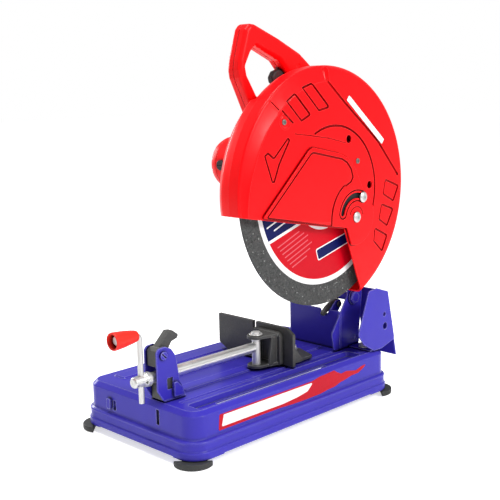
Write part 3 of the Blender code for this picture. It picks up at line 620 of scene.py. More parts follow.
PAINTS = {
    # In coated and cast, the edge strength (and in coated the width) sets the painted highlight along edges.
    "blue_paint": coated("blue_powder_coat", (0.040, 0.030, 0.40), 0.24, 0.2, 0.03, 650.0, 0.02, 0.8, 2.6),
    "red_paint": coated("red_guard_paint", (0.95, 0.003, 0.006), 0.30, 0.15, 0.03, 800.0, 0.05, 0.2),
    "red_plastic": coated("red_moulding", (0.90, 0.004, 0.006), 0.34, 0.15, 0.04, 1500.0, 0.10, 0.15),
    "black_iron": cast("dark_iron", (0.055, 0.055, 0.053), 0.5, 0.2, 0.3, edge=0.8),
    "bright_steel": machined("bright_steel", (0.78, 0.78, 0.79)),
    "cast_aluminium": cast("cast_aluminium", (0.5, 0.5, 0.52), 0.42, 0.9, 0.25, 500.0, 0.4),
    "black_rubber": rubbery("black_rubber", (0.022, 0.023, 0.022)),
    "abrasive": bonded_grain("bonded_abrasive"),
    "copper": machined("copper_bars", (0.72, 0.33, 0.18)),
    "grey_plastic": coated("grey_moulding", (0.035, 0.035, 0.037), 0.45, 0.25, 0.1, 1600.0, 0.2, 0.3),
}
ZINC = machined("zinc_plate", (0.66, 0.66, 0.65), (700.0, 700.0, 60.0), 0.38, 0.75)
BRIGHT_ROD = machined("polished_rod", (0.84, 0.84, 0.82), (900.0, 30.0, 900.0), 0.30, 0.85)
DULL_STEEL = machined("dull_steel", (0.28, 0.27, 0.25), (300.0, 300.0, 300.0), 0.45)
GRIP_RED = coated("grip_red", (0.80, 0.028, 0.018), 0.38, 0.2, 0.05, 1500.0, 0.12, 0.1)
LABEL_RED = printed("label_red", (0.56, 0.0, 0.010))
LABEL_PINK = printed("label_pink", (0.62, 0.12, 0.15))
LABEL_NAVY = printed("label_navy", (0.001, 0.005, 0.085))
LABEL_WHITE = printed("label_white", (0.85, 0.85, 0.86))
DECAL_RED = printed("decal_red", (0.50, 0.001, 0.014), 0.3)
# Near-black material that stands in for shade: painted shade behind openings and gaps.
PAINTED_SHADE = rubbery("dark_recess", (0.006, 0.005, 0.006))


# ---------------------------------------------------------------- fasteners
def hexagon(centre, across, lean=0.0):
    return rounded(arc(centre, across / math.sqrt(3), lean, lean + 360, 6)[:-1], 0.8, 2)


BOLT_LEAN = 10.0  # degrees that a bolt's head is turned
DECK_BOLTS = {
    "fence_pivot_bolt": 16,
    "fence_lock_bolt": 16,
    "pivot_bracket_bolt_left": 15,
    "pivot_bracket_bolt_right": 15,
    "spark_deflector_bolt": 15,
    "vise_bracket_bolt": 15,
}  # the size across the flats


def hex_bolt(node, axis, centre, foot, seat, top, radius, across, nut=None, washer=0.0, paint=None):
    solids = [rod(axis, centre, radius, foot, seat + 1, 0.5, 32)]
    solids.append(slab([hexagon(centre, across, BOLT_LEAN)], axis, seat + washer, top, 0.8))
    crown = [(0, top - 0.5), (across * 0.42, top - 0.5), (across * 0.36, top + 0.3), (0, top + 0.3)]
    solids.append(lathe(crown, axis, centre, 0.3, 40))
    if washer:
        solids.append(rod(axis, centre, across * 0.62, seat, seat + washer, 0.4, 48))
    if nut is not None:
        solids.append(slab([hexagon(centre, across, BOLT_LEAN + 12)], axis, foot + 1, nut, 0.7))
    return look(node, solids, [paint or ZINC])


def cross_screw(node, axis, centre, foot, seat, top, radius, head):
    wide, half = head * 0.55, head * 0.13
    u, v = centre
    cross = [(u - wide, v - half), (u - half, v - half), (u - half, v - wide), (u + half, v - wide)]
    cross += [(u + half, v - half), (u + wide, v - half), (u + wide, v + half), (u + half, v + half)]
    cross += [(u + half, v + wide), (u - half, v + wide), (u - half, v + half), (u - wide, v + half)]
    solids = [slab([circle(centre, head)], axis, seat, top, 0.9, 0.1, relief=[(cross, 0.3, -0.8)])]
    solids.append(rod(axis, centre, radius, foot, seat + 0.5, 0.3, 24))
    return look(node, solids, [DULL_STEEL])


def fasteners():
    for node, across in DECK_BOLTS.items():
        low, high = (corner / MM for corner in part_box(node))
        hex_bolt(node, "Z", node_centre(node), low.z, high.z - 6, high.z, 5, across, DECK_Z - 2.3, 1.4)
    for node in ("guard_screw_front", "guard_screw_rear"):
        low, high = (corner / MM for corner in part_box(node))
        cross_screw(node, "X", node_centre(node, "yz"), low.x, GUARD_FACE + 0.1, high.x + 0.6, 2, 4.2)
    for node in ("access_pivot_bolt", "access_lock_bolt"):
        low, high = (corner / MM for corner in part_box(node))
        centre = node_centre(node, "yz")
        seat = COVER_TOP + 0.3
        dome = [(0, low.x), (4, low.x), (4, seat), (8.5, seat), (8.2, seat + 1.6), (5.8, high.x)]
        dome += [(0, high.x)]
        socket = rod("X", centre, 2.6, high.x - 1.2, high.x + 1, 0, 6)
        nut = slab([hexagon(centre, 14)], "X", low.x + 0.5, GUARD_FACE - GUARD_WALL - 0.3, 0.6)
        look(node, [lathe(dome, "X", centre, 0.9), nut], [ZINC], cut=[socket])
    hex_bolt("pivot_shaft", "X", PIVOT, -46, 70.3, 76, 7, 20, -41.3, 1.6, paint=PAINTS["blue_paint"])
    pin = [(0, 22), (6, 22), (6, 25.7), (3.5, 25.7), (3.5, 54.3), (6, 54.3), (6, 57), (0, 57)]
    slot = bar((LEVER_PIN[0] - 3, LEVER_PIN[1] + 3), (LEVER_PIN[0] + 3, LEVER_PIN[1] - 3), 1.0)
    slot_solid = slab([slot], "X", 55.6, 60, 0)
    look("lever_pin", [lathe(pin, "X", LEVER_PIN, 0.7, 40)], [PAINTS["blue_paint"]], cut=[slot_solid])


# ---------------------------------------------------------------- base
def base_ring(offset, z, steps=14):
    loop = []
    for turn, (sx, sy) in enumerate(((1, 1), (-1, 1), (-1, -1), (1, -1))):
        corner = (sx * (BASE_HALF_X - BASE_CORNER), sy * (BASE_HALF_Y - BASE_CORNER))
        loop += arc(corner, BASE_CORNER + offset, turn * 90, (turn + 1) * 90, steps)
    return loop, z


def strip_loop(low_x, high_x, low_y, high_y, radius):
    return rounded([(low_x, low_y), (high_x, low_y), (high_x, high_y), (low_x, high_y)], radius, 6)


def pressed_base():
    """The wall profile, lofted round the base, closed on top by the deck with its pressed panels."""
    profile = [(3.2, SKIRT_BOTTOM), (6.5, SKIRT_BOTTOM), (6.5, 20.2), (4.5, 21.6), (4.5, 31.6), (5.4, 33.4)]
    profile += [(4.6, 35.2), (0.0, 37.2), (0.0, 70.0), (-6.8, DECK_Z)]
    profile = rounded(profile, 2.4, 4, closed=False)
    rings = [base_ring(offset, z) for offset, z in profile]
    points = [(x, y, z) for loop, z in rings for x, y in loop]
    count = len(rings[0][0])
    rows = [list(range(k * count, (k + 1) * count)) for k in range(len(rings))]
    wall = (points, [face for first, second in zip(rows, rows[1:]) for face in strip(first, second)])

    edge_loop = rings[-1][0]
    slot = strip_loop(WHEEL_X - 4, WHEEL_X + 4, -146, 91, 3.5)
    gutter = strip_loop(83, 112, -193, 157, 7)
    relief = [
        (gutter, 3.2, -8.0),
        (strip_loop(-101, -74, -180, 190, 5), 2.6, 2.2),
        (strip_loop(-30, -20, -180, 148, 4), 2.2, 2.2),
        (strip_loop(15, 40, -156, 148, 4), 1.8, 2.2),
        (strip_loop(66, 74, -193, 157, 3), 2.2, -1.8),
    ]
    holes = [slot] + [circle(spot, 5.3, 20) for spot in DECK_HOLES]
    flat, faces = triangles([edge_loop] + holes, relief_lines(relief))
    height = DECK_Z + relief_height(flat, relief)
    deck = ([(u, v, w) for (u, v), w in zip(flat, height)], [tuple(f) for f in faces])
    made = link("base_shell_skin", [wall, deck], [PAINTS["blue_paint"]])
    outward(made.data)
    thicken(made, 2.0)
    openings = [box((-56, -226, 42), (-49, -205, 57), 1.5), box((44.5, -226, 45), (50.5, -205, 67), 1.5)]
    openings += [box((-x, -y, -3), (x, y, SKIRT_BOTTOM + 2), 0.5) for x, y in ((85, 240), (140, 165))]
    cut_with(made, openings)
    # A black sheet behind the right front opening: painted shade in the recess.
    backing = link("backing", [box((41, -212.5, 41), (54, -211.3, 70), 0.3)], [PAINTED_SHADE])
    hook = [(-67, 43), (-57.5, 43), (-57.5, 59), (-67, 59)]
    tabs = link("tabs", [slab([rounded(hook, 3, 4)], "Y", -219.5, -214, 1.6, 0)], [PAINTS["blue_paint"]])
    corner = (BASE_HALF_X - BASE_CORNER, BASE_HALF_Y - BASE_CORNER)
    pads = [
        rod("Z", (sx * corner[0], sy * corner[1]), 28.6, PAD_BOTTOM, 15.6, 0.6)
        for sx in (-1, 1)
        for sy in (-1, 1)
    ]
    join(made, [tabs, backing, link("pads", pads, [PAINTS["blue_paint"]])])
    settle(made, "base_shell")


def thicken(made, wall):
    """Gives an open sheet a wall thickness, to the side away from its normals."""
    step = made.modifiers.new("wall", "SOLIDIFY")
    step.thickness = wall * MM
    step.offset = -1
    step.use_even_offset = True
    graph = bpy.context.evaluated_depsgraph_get()
    result = bpy.data.meshes.new_from_object(made.evaluated_get(graph))
    made.modifiers.clear()
    made.data = result


def join(made, others):
    bpy.ops.object.select_all(action="DESELECT")
    for other in [*others, made]:
        other.select_set(True)
    bpy.context.view_layer.objects.active = made
    bpy.ops.object.join()


def settle(made, node):
    """Shades a finished piece and lets it stand for its CAD node."""
    shade(made)
    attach(made, frame["nodes"][node]["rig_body"])
    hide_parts(node)


def node_centre(node, axes="xy"):
    low, high = (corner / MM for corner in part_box(node))
    middle = (low + high) / 2
    middle.y -= SHIFT_Y
    return tuple(getattr(middle, axis) for axis in axes)


DECK_HOLES = [node_centre(node) for node in DECK_BOLTS]


def feet():
    """Round outside and straight behind, with a tongue up to the base's pad."""
    top = SKIRT_BOTTOM - 0.3
    half = math.degrees(math.acos(FOOT_BACK / FOOT_RADIUS))
    for node in ("foot_front_left", "foot_front_right", "foot_rear_left", "foot_rear_right"):
        centre = tuple(math.copysign(size, side) for size, side in zip(FOOT_MIDDLE, node_centre(node)))
        lean = math.degrees(math.atan2(math.copysign(1, centre[1]), math.copysign(1, centre[0])))
        outline = rounded(arc(centre, FOOT_RADIUS, lean - half, lean + half, 40), 2.5, 4)
        groove = inset(outline, 4)
        tongue = [(0, top - 3), (12.5, top - 3), (12.5, 13.2), (5, 13.2), (5, 22), (0, 22)]
        cushion = slab([outline], "Z", 0, top, 1.6, 2.4, 4, low_relief=[(groove, 1.0, -0.8)])
        look(node, [cushion, lathe(tongue, "Z", centre, 0.6, 48)])


def side_decal():
    """A plain white strip with a red border on the base's right side, running out into a ragged red tail."""
    white = rounded([(-163, 46.5), (-159, 62.8), (28, 62.8), (15, 52), (-8, 48.5), (-40, 46.5)], 1.5, 3)
    red = [(-169, 42), (-167, 64.8), (26, 65.2), (44, 68.2), (62, 69), (78, 70), (84, 66), (95, 60.5)]
    red += [(108, 62), (118, 60), (132, 57.5), (146, 61), (160, 62.5), (151, 57), (138, 52), (120, 51.5)]
    red += [(105, 48.5), (92, 47), (80, 43.5), (62, 42.5), (45, 40.5), (10, 40), (-20, 40.6), (-46, 42)]
    loop = rounded(red, 2.0, 3)
    side = BASE_HALF_X
    solids = [film([loop], side - 0.2, side + 0.15, 0), film([white], side, side + 0.28, 1)]
    extra("side_decal", "base", solids, [DECAL_RED, LABEL_WHITE])


def bracket():
    floor = DECK_Z + 0.3
    left_ear = [(156, floor), (156, 150), (172, 178), (206, 178), (213, 165), (206, 100), (206, floor)]
    right_ear = [(140, floor), (134.9, 105.8), (173.7, 163.3), (178, 180), (206, 180), (214, 165), (206, 100)]
    right_ear += [(206, floor)]
    web = [(-40.5, floor), (69.5, floor), (69.5, 141), (46, 141), (44, 134), (30, 134), (28, 141)]
    web += [(-40.5, 141)]
    hook_tab = [(156, 118), (156, 138), (174, 153), (186, 153), (186, 142), (166, 118)]
    shaft_hole = circle(PIVOT, 7.4, 32)
    rib = rounded([(150, 84), (150, 96), (196, 96), (196, 84)], 4, 4)
    solids = [
        slab([rounded(left_ear, 5, 5), shaft_hole], "X", -41, -38.5, 0.7),
        slab([rounded(right_ear, 6, 5), shaft_hole], "X", 67.5, 70, 0.7, relief=[(rib, 1.5, -0.6)]),
        slab([rounded(web, 3.5, 4)], "Y", 155, 157.6, 0.8),
        box((-40.5, 156, floor), (69.5, 205.5, 79.2), 0.7),
        slab([rounded(hook_tab, 3, 4), circle(HOOK_PIN, 3.3, 20)], "X", 44.3, 46.8, 0.6),
        lathe([(7.4, 64.5), (11.5, 64.5), (11.5, 67.8), (7.4, 67.8)], "X", PIVOT, 0.5, 40),
        tube([(-39.2, 156.6, floor), (-39.2, 156.6, 140.6)], 1.9, 20),
        tube([(68.4, 156.6, floor), (68.4, 156.6, 140.6)], 1.9, 20),
    ]
    look("pivot_bracket", solids)


def deflector():
    floor = DECK_Z + 0.3
    ear = [(171.5, 179.3), (192.6, 180.7), (222.5, 170.6), (241.5, 86.5), (206, floor), (185, floor)]
    ear += [(158.8, 92.1), (144.5, 110.1)]
    back = [(220.5, 170.8), (222.9, 171.3), (248.3, 57), (246, 56.6)]
    holes = [circle((213, 133.4), 3.2, 24), circle((214.8, 113.5), 5.6, 32)]
    solids = [
        slab([rounded(ear, 6, 6), *holes], "X", 115, 117.4, 0.7),
        slab([rounded(back, 0.8, 3)], "X", 50, 116.4, 0.7),
        box((72, 176, floor), (116, 206, 79.1), 0.7),
    ]
    look("spark_deflector", solids)


def spring():
    coil, pitch, turns, start = 11.0, 3.6, 3, -35.5
    steps = 32
    points = [(start, PIVOT[0] + coil, 84.0)]
    for i in range(turns * steps + 1):
        angle = 2 * math.pi * i / steps
        along = start + pitch * i / steps
        points.append((along, PIVOT[0] + coil * math.cos(angle), PIVOT[1] + coil * math.sin(angle)))
    points.append((points[-1][0], PIVOT[0] + coil, PIVOT[1] + 26.0))
    look("lift_spring", [tube(points, 1.4, 16)], angle=60.0)


# ---------------------------------------------------------------- fence and vise
def fence():
    low, high = FENCE_BOTTOM, FENCE_TOP
    plate = [(-82, 91), (-58, low), (84, low), (84, 130), (70, high), (4, high), (4, 128), (-2, 128)]
    plate += [(-2, high), (-82, high)]
    flange = [(-70, 28), (-70, 62), (-40, 72), (8, 99), (32, 100), (71, 85), (72, 28)]
    slot = band(FENCE_PIVOT, 88, 5.3, -4, 26)
    rim = band(FENCE_PIVOT, 88, 11.6, -4, 26)
    gusset = rounded([(30, 83.5), (52, 83.5), (30, 112)], 1.5, 3)
    gussets = [slab([gusset], "X", x - 3, x + 3, 0.8) for x in (-66, 79)]
    solids = [
        slab([rounded(plate, 1.2, 3)], "Y", 25, 31, 1.0),
        slab([rounded(flange, 5, 5), slot, circle(FENCE_PIVOT, 5.3, 32)], "Z", low + 0.2, 84, 0.8,
             relief=[(rim, 0.5, -0.15)]),
    ]
    look("fence", solids + gussets)


def vise_bracket():
    floor = DECK_Z + 0.3
    plate = [(-207, floor), (-219, 95), (-219, 150), (-215, 155), (-203, 156), (-192, 151), (-184, 139)]
    plate += [(-178.5, 104), (-172, 90), (-168, floor)]
    loops = [rounded(plate, 5, 6), circle(LEVER_PIN, 3.8, 24)]
    window = rounded([(-201, 94), (-201, 110), (-191, 110), (-191, 94)], 1.5, 3)
    tab = [(-192, 82), (-192, 103), (-186, 103), (-176, 93), (-176, 82)]
    solids = [
        slab(loops + [window], "X", 51.5, 54, 0.7),
        slab(loops, "X", 26, 28.5, 0.7),
        slab([rounded(tab, 1.5, 3)], "X", 53, 58.5, 0.9),
        box((26.5, -206, floor), (53.5, -168.5, 79.2), 0.7),
        tube([(27.4, -206, floor + 1), (27.4, -169, floor + 1)], 1.7, 20),
        tube([(52.6, -206, floor + 1), (52.6, -169, floor + 1)], 1.7, 20),
    ]
    look("vise_bracket", solids)
    block = [(29, 79.5), (51, 79.5), (51, SCREW_Z - 1), (48.3, SCREW_Z - 1)]
    block += arc(SCREW_LINE, 8.3, -7, -173, 20) + [(31.7, SCREW_Z - 1), (29, SCREW_Z - 1)]
    look("lower_half_nut", [slab([block], "Y", -209, -190, 0.5)])


def lever():
    block = [(-216, 127.5), (-198, 127), (-192, 140), (-195, 153), (-210, 154.5), (-216, 150)]
    arm = [(-212, 152), (-189, 174.5), (-181, 173.5), (-171, 166), (-173, 161), (-184, 158), (-192, 146)]
    arm += [(-200, 140)]
    hole = circle(LEVER_PIN, 3.8, 24)
    solids = [
        slab([rounded(block, 1.5, 4), hole], "X", 29, 51, 1.8),
        slab([rounded(arm, 2.5, 5)], "X", 33.8, 45.8, 1.6),
    ]
    look("half_nut_lever", solids)


def jaw():
    plate = [(8, 80), (64, 80), (64, 126), (58, 132), (8, 132)]
    lug = arc(JAW_PIN, 14, -180, 0, 24) + [(60, 17), (60, 19), (20, 19), (20, 17)]
    gusset = [(19, 82), (-1, 82), (6, 129), (19, 129)]
    bore = circle(JAW_PIN, 6.8, 32)
    solids = [
        slab([rounded(plate, 3, 4)], "Y", 16.5, 24.5, 1.3),
        slab([rounded(lug, 1.5, 3), bore], "Z", 80.4, 85, 0.9),
        slab([rounded(lug, 1.5, 3), bore], "Z", 126, 131, 0.9),
        slab([rounded(gusset, 2.5, 4)], "X", 22, 26, 1.0),
        slab([rounded(gusset, 2.5, 4)], "X", 54, 58, 1.0),
    ]
    look("jaw", solids)
    pin = [(0, 80.2), (6.5, 80.2), (6.5, 131.3), (10.5, 131.3), (10.5, 133), (7, 133), (7, 136), (0, 136)]
    socket = rod("Y", SCREW_LINE, 3.8, -25, -6, 0, 24)
    look("jaw_pin", [lathe(pin, "Z", JAW_PIN, 0.7)], [ZINC], cut=[socket])


def screw_and_crank():
    shape = [(0, -7), (3.5, -7), (3.5, -17.9), (8, -17.9), (8, -229), (5.2, -229), (5.2, -246), (0, -246)]
    hole = rod("Z", (VISE_X, CRANK_Y), 4.3, 90, 130, 0, 24)
    look("vise_screw", [lathe(shape, "Y", SCREW_LINE, 0.8)], [BRIGHT_ROD], cut=[hole])
    hub = [(8.3, -222.3), (10.4, -222.3), (10.4, -229), (8.6, -234), (7.6, -248.5), (6, -250.6), (0, -250.6)]
    hub += [(0, -246.3), (5.5, -246.3), (5.5, -229.3), (8.3, -229.3)]
    set_screw = rod("X", (CRANK_Y + 4, SCREW_Z - 1), 2.0, 45.5, 55, 0, 12)
    look("crank_hub", [lathe(hub, "Y", SCREW_LINE, 1.2)], [ZINC], cut=[hole, set_screw])
    bend = smooth_path([(VISE_X, CRANK_Y, GRIP_Z - 10), (VISE_X, CRANK_Y - 0.6, GRIP_Z - 4),
                        (VISE_X, CRANK_Y - 4, GRIP_Z - 0.6), (VISE_X, CRANK_Y - 10, GRIP_Z)], 6)
    arm = [(0, CRANK_Y - 9), (3.9, CRANK_Y - 9), (3.9, -272), (6.3, -272), (6.3, -276), (0, -276)]
    solids = [
        rod("Z", (VISE_X, CRANK_Y), 4, 80, GRIP_Z - 9.5, 0.9, 40),
        tube(bend, 4.0, 32),
        lathe(arm, "Y", (VISE_X, GRIP_Z), 0.8, 40),
    ]
    look("crank_rod", solids, [ZINC])
    grip = [(4.4, -241), (7.2, -241), (8.2, -244), (9.2, -249), (11.4, -264), (12.4, -276), (12.7, -280)]
    grip += [(12.0, -282), (10.4, -282), (9.8, -279), (9.6, -270.3), (4.4, -270.3)]
    look("crank_grip", [lathe(grip, "Y", (VISE_X, GRIP_Z), 0.9)], [GRIP_RED])


def hook():
    plate = [(188, 154), (188, 141), (172, 139), (158, 136), (147, 129), (143.5, 136), (154, 145), (168, 152)]
    solids = [
        slab([rounded(plate, 3, 5)], "X", 37, 42, 0.9),
        lathe([(0, 40), (3, 40), (3, 47.5), (5, 47.5), (5, 49.5), (0, 49.5)], "X", HOOK_PIN, 0.5, 32),
    ]
    look("lock_hook", solids)


# ---------------------------------------------------------------- head
def head_arm():
    top = (75, 368)
    outline = hull(PIVOT, 20, top, 47)
    shaft_hole = circle(PIVOT, 7.4, 40)
    motor_hole = circle(MOTOR, 15, 48)
    sunk = [(rounded([(178, 190), (150, 196), (92, 300), (128, 316)], 10, 5), 4, -4)]
    solids = [
        slab([outline, shaft_hole, motor_hole], "X", -20, -5, 2.4, relief=sunk, low_relief=sunk),
        lathe([(15, -33), (46, -33), (46, -19), (15, -19)], "X", MOTOR, 2.0, 96),
        lathe([(7.4, -27), (15, -27), (16.5, -19), (7.4, -19)], "X", PIVOT, 1.0),
    ]
    look("head_arm", solids)


def gearbox():
    outline = hull(SPINDLE, 46, MOTOR, 40)
    lobes = [(SPINDLE[0] + y, SPINDLE[1] + z) for y, z in ((-39, 14), (41, 4), (8, -41))]
    lobes += [(MOTOR[0] + 6, MOTOR[1] + 35)]
    bores = [circle(MOTOR, 13, 48), circle(SPINDLE, 13.3, 48)]
    heads = [slab([hexagon(spot, 8, 20)], "X", 40.5, 47.8, 0.7) for spot in lobes]
    inner = hull(SPINDLE, 38, MOTOR, 32)
    floor, wall = slab([outline, *bores], "X", -4.7, 9.5, 2.4), slab([outline, inner], "X", 9, 24, 0.6)
    look("gear_housing", [floor, wall])
    lid = slab([outline, circle(SPINDLE, 10.2, 40)], "X", 37.5, 46.2, 2.6, relief=[(inner, 3, -1.6)])
    look("gearbox_cover", [slab([outline, inner], "X", 24.3, 38, 0.6), lid, *heads])
    far = SPINDLE[0] + 46
    pin = [(0, SPINDLE[0] + 14), (2.5, SPINDLE[0] + 14), (2.5, far + 4.6), (7, far + 4.6), (7, far + 10)]
    pin += [(4, far + 9.2), (0, far + 9.2)]
    look("spindle_lock_pin", [lathe(pin, "Y", (29.5, SPINDLE[1]), 0.7, 40)])


def motor():
    vents = []
    for k in range(14):
        turn = 2 * math.pi * (k + 0.5) / 14
        low = (MOTOR[0] + 28 * math.cos(turn), MOTOR[1] + 28 * math.sin(turn))
        high = (MOTOR[0] + 38 * math.cos(turn), MOTOR[1] + 38 * math.sin(turn))
        vents.append(slab([bar(low, high, 1.7)], "X", -100, -84, 0))
    body = [(40.8, -72), (44, -72), (44, -33.3), (40.8, -33.3)]
    ports = rod("Y", (-60, MOTOR[1]), 8.3, MOTOR[0] - 60, MOTOR[0] + 60, 0, 40)
    ribs = []
    for x in (-41, -36.5):
        ribs.append(lathe([(43.6, x - 1), (45.2, x - 1), (45.2, x + 1), (43.6, x + 1)], "X", MOTOR, 0.6, 96))
    look("motor_housing", [lathe(body, "X", MOTOR, 0.6, 96)] + ribs, cut=[ports])
    for side, node in ((-1, "brush_cap_front"), (1, "brush_cap_rear")):
        ends = sorted((MOTOR[0] + side * 41.5, MOTOR[0] + side * 47))
        face = ends[0] if side < 0 else ends[1]
        low, high = MOTOR[1] - 1, MOTOR[1] + 1
        loop = rounded([(-66, low), (-54, low), (-54, high), (-66, high)], 0.3, 2)
        slot = slab([loop], "Y", face - 1.2, face + 1.2, 0)
        look(node, [rod("Y", (-60, MOTOR[1]), 8, *ends, 0.9)], cut=[slot])
    cap = [(0, -92), (24, -92), (33, -91), (38.5, -88), (42.3, -80), (43.8, -72.3), (40, -72.3), (39, -79)]
    cap += [(35, -86.5), (13.3, -86.5), (13.3, -80), (9.5, -80), (9.5, -88.5), (0, -88.5)]
    look("motor_end_cap", [lathe(cap, "X", MOTOR, 1.6, 96)], cut=vents)
    screws = []
    for k in range(3):
        turn = math.radians(107 + 120 * k)
        spot = (MOTOR[0] + 21.5 * math.cos(turn), MOTOR[1] + 21.5 * math.sin(turn))
        screws.append(lathe([(0, -93.4), (3.4, -93.4), (4, -91.6), (4, -90), (0, -90)], "X", spot, 0.6, 32))
    extra("motor_cap_screws", "head", screws, [ZINC])


def circle_hit(start, end, centre, radius):
    """Where the ray from start through end leaves the circle."""
    a, b, c = Vector(start), Vector(end), Vector(centre)
    along = (b - a).normalized()
    middle = (c - a).dot(along)
    off = (a + along * middle - c).length
    spot = a + along * (middle + math.sqrt(radius**2 - off**2))
    return tuple(spot)


def guard_outline(radius):
    """The guard's disc less its opening, with the opening's corner near the access cover."""
    corner, knee = (117, 286.6), (154.6, 191.6)
    front = circle_hit(corner, (-150, 336.4), SPINDLE, radius)
    rear = circle_hit(corner, knee, SPINDLE, radius)
    angle = [math.degrees(math.atan2(p[1] - SPINDLE[1], p[0] - SPINDLE[0])) for p in (rear, front)]
    return arc(SPINDLE, radius, angle[0], angle[1] + 360, 200) + [corner]


FACE_LINE = ((92, 163.5), (135, 163.5), (146, 165.6), (163, 168), (178, 174.6), (187, 178.4))
STEP_WIDTH, CREST = 1.3, GUARD_RADIUS - 3.5
VISOR_END = 131.5


def polar(flat):
    """Distance from the spindle, and the angle in degrees from the rear over the top."""
    offset = flat - np.array(SPINDLE)
    angle = (np.degrees(np.arctan2(offset[:, 1], offset[:, 0])) + 90) % 360 - 90
    return np.hypot(offset[:, 0], offset[:, 1]), angle


def shoulder_drop(flat):
    """How far the guard cover's shoulder lies below its face: a step and a slope in front and on top, and
    a plain bend behind. Also gives each point's distance from the spindle."""
    reach, angle = polar(flat)
    start = np.interp(angle, *zip(*FACE_LINE))
    bend = 1 - np.sqrt(1 - 0.9999 * np.clip((reach - CREST) / 3.5, 0, 1) ** 2)
    slope = np.clip((reach - start - STEP_WIDTH) / (CREST - start - STEP_WIDTH), 0, 1)
    front = 1.6 * np.clip((reach - start) / STEP_WIDTH, 0, 1) + 5.9 * slope + 3.5 * bend
    rear = 11 * (1 - np.sqrt(1 - 0.9999 * np.clip((reach - 178) / 9, 0, 1) ** 2))
    share = np.clip((angle - 91) / 1.5, 0, 1)
    return front * share + rear * (1 - share), reach


def face_line_loop(outwards):
    """The face's edge line from top to front, closed outside the guard."""
    angles = np.linspace(92, 205, 60)
    radii = np.interp(angles, *zip(*FACE_LINE)) + outwards
    line = [arc(SPINDLE, radius, angle, angle, 1)[0] for radius, angle in zip(radii, angles)]
    return line + arc(SPINDLE, GUARD_RADIUS + 6, 205, 92, 60)


def grooved(loop, width=3.4, depth=2.2, floor=0.7):
    """Relief for an outline pressed into the face as a groove, with what it bounds sunk to floor."""
    ordered = turned(loop)
    return [(ordered, 0.8, -depth), (inset(ordered, width - 0.8), 0.8, depth - floor)]


def guard_relief():
    fingers = [
        [(18.3, 454.6), (38.6, 463.5), (37.5, 467.5), (6, 497), (-14, 484.5)],
        [(56.8, 468.6), (79.8, 472.9), (80.5, 477.0), (43, 511), (18.4, 504)],
    ]
    arrow = [(-10.9, 434.9), (-5.5, 430.3), (-28.4, 396.2), (-39.3, 371.5), (-45.5, 371.5), (-60.8, 411.1)]
    arrow += [(-52.6, 416.1), (-40.6, 407.8)]
    vents = [
        [(219.5, 357), (258, 343), (243, 316), (213, 331)],
        [(210, 318), (244, 306), (226, 277), (202, 291)],
        [(192, 281), (228, 264), (213, 236), (189, 257)],
    ]
    banner = [(74, 511), (117.5, 476.7), (197.6, 416.6), (252, 358), (285, 380), (285, 555), (70, 555)]
    banner_inner = [(80, 512), (119.5, 480), (199.6, 420), (257, 359), (285, 380), (285, 555), (76, 555)]
    rise = [(4, 438.5), (38.8, 434.3), (80, 428.5), (119, 419.5)]
    boss = circle((-16, 456.5), 12, 32)
    relief = [entry for loop in fingers for entry in grooved(rounded(loop, 3.5, 5), 3.4, 2.4, 0.8)]
    relief += grooved(rounded(arrow, 2.5, 4), 3.2, 2.2, 0.4)
    relief += [entry for loop in vents for entry in grooved(rounded(loop, 4, 4), 3.6, 2.3, 0.8)]
    relief += [(banner, 1.0, -2.4), (banner_inner, 1.0, 2.4)]
    relief += [(band((92, 346.5), 100.3, 1.9, -56, 116, 40), 1.1, -2.4)]
    relief += [(bar(start, end, 1.2), 1.0, -1.0) for start, end in zip(rise, rise[1:])]
    relief += [(boss, 1.2, -1.0), (circle((-16, 456.5), 9.5, 32), 1.5, 1.0)]
    visor_end = [arc(SPINDLE, radius, VISOR_END, VISOR_END, 1)[0] for radius in (166, 195)]
    relief += [(bar(*visor_end, 1.0), 0.8, -1.6)]
    relief += [(bar((-21.7, 472), (0.3, 454.5), 1.6), 1.2, -2.0)]
    return relief


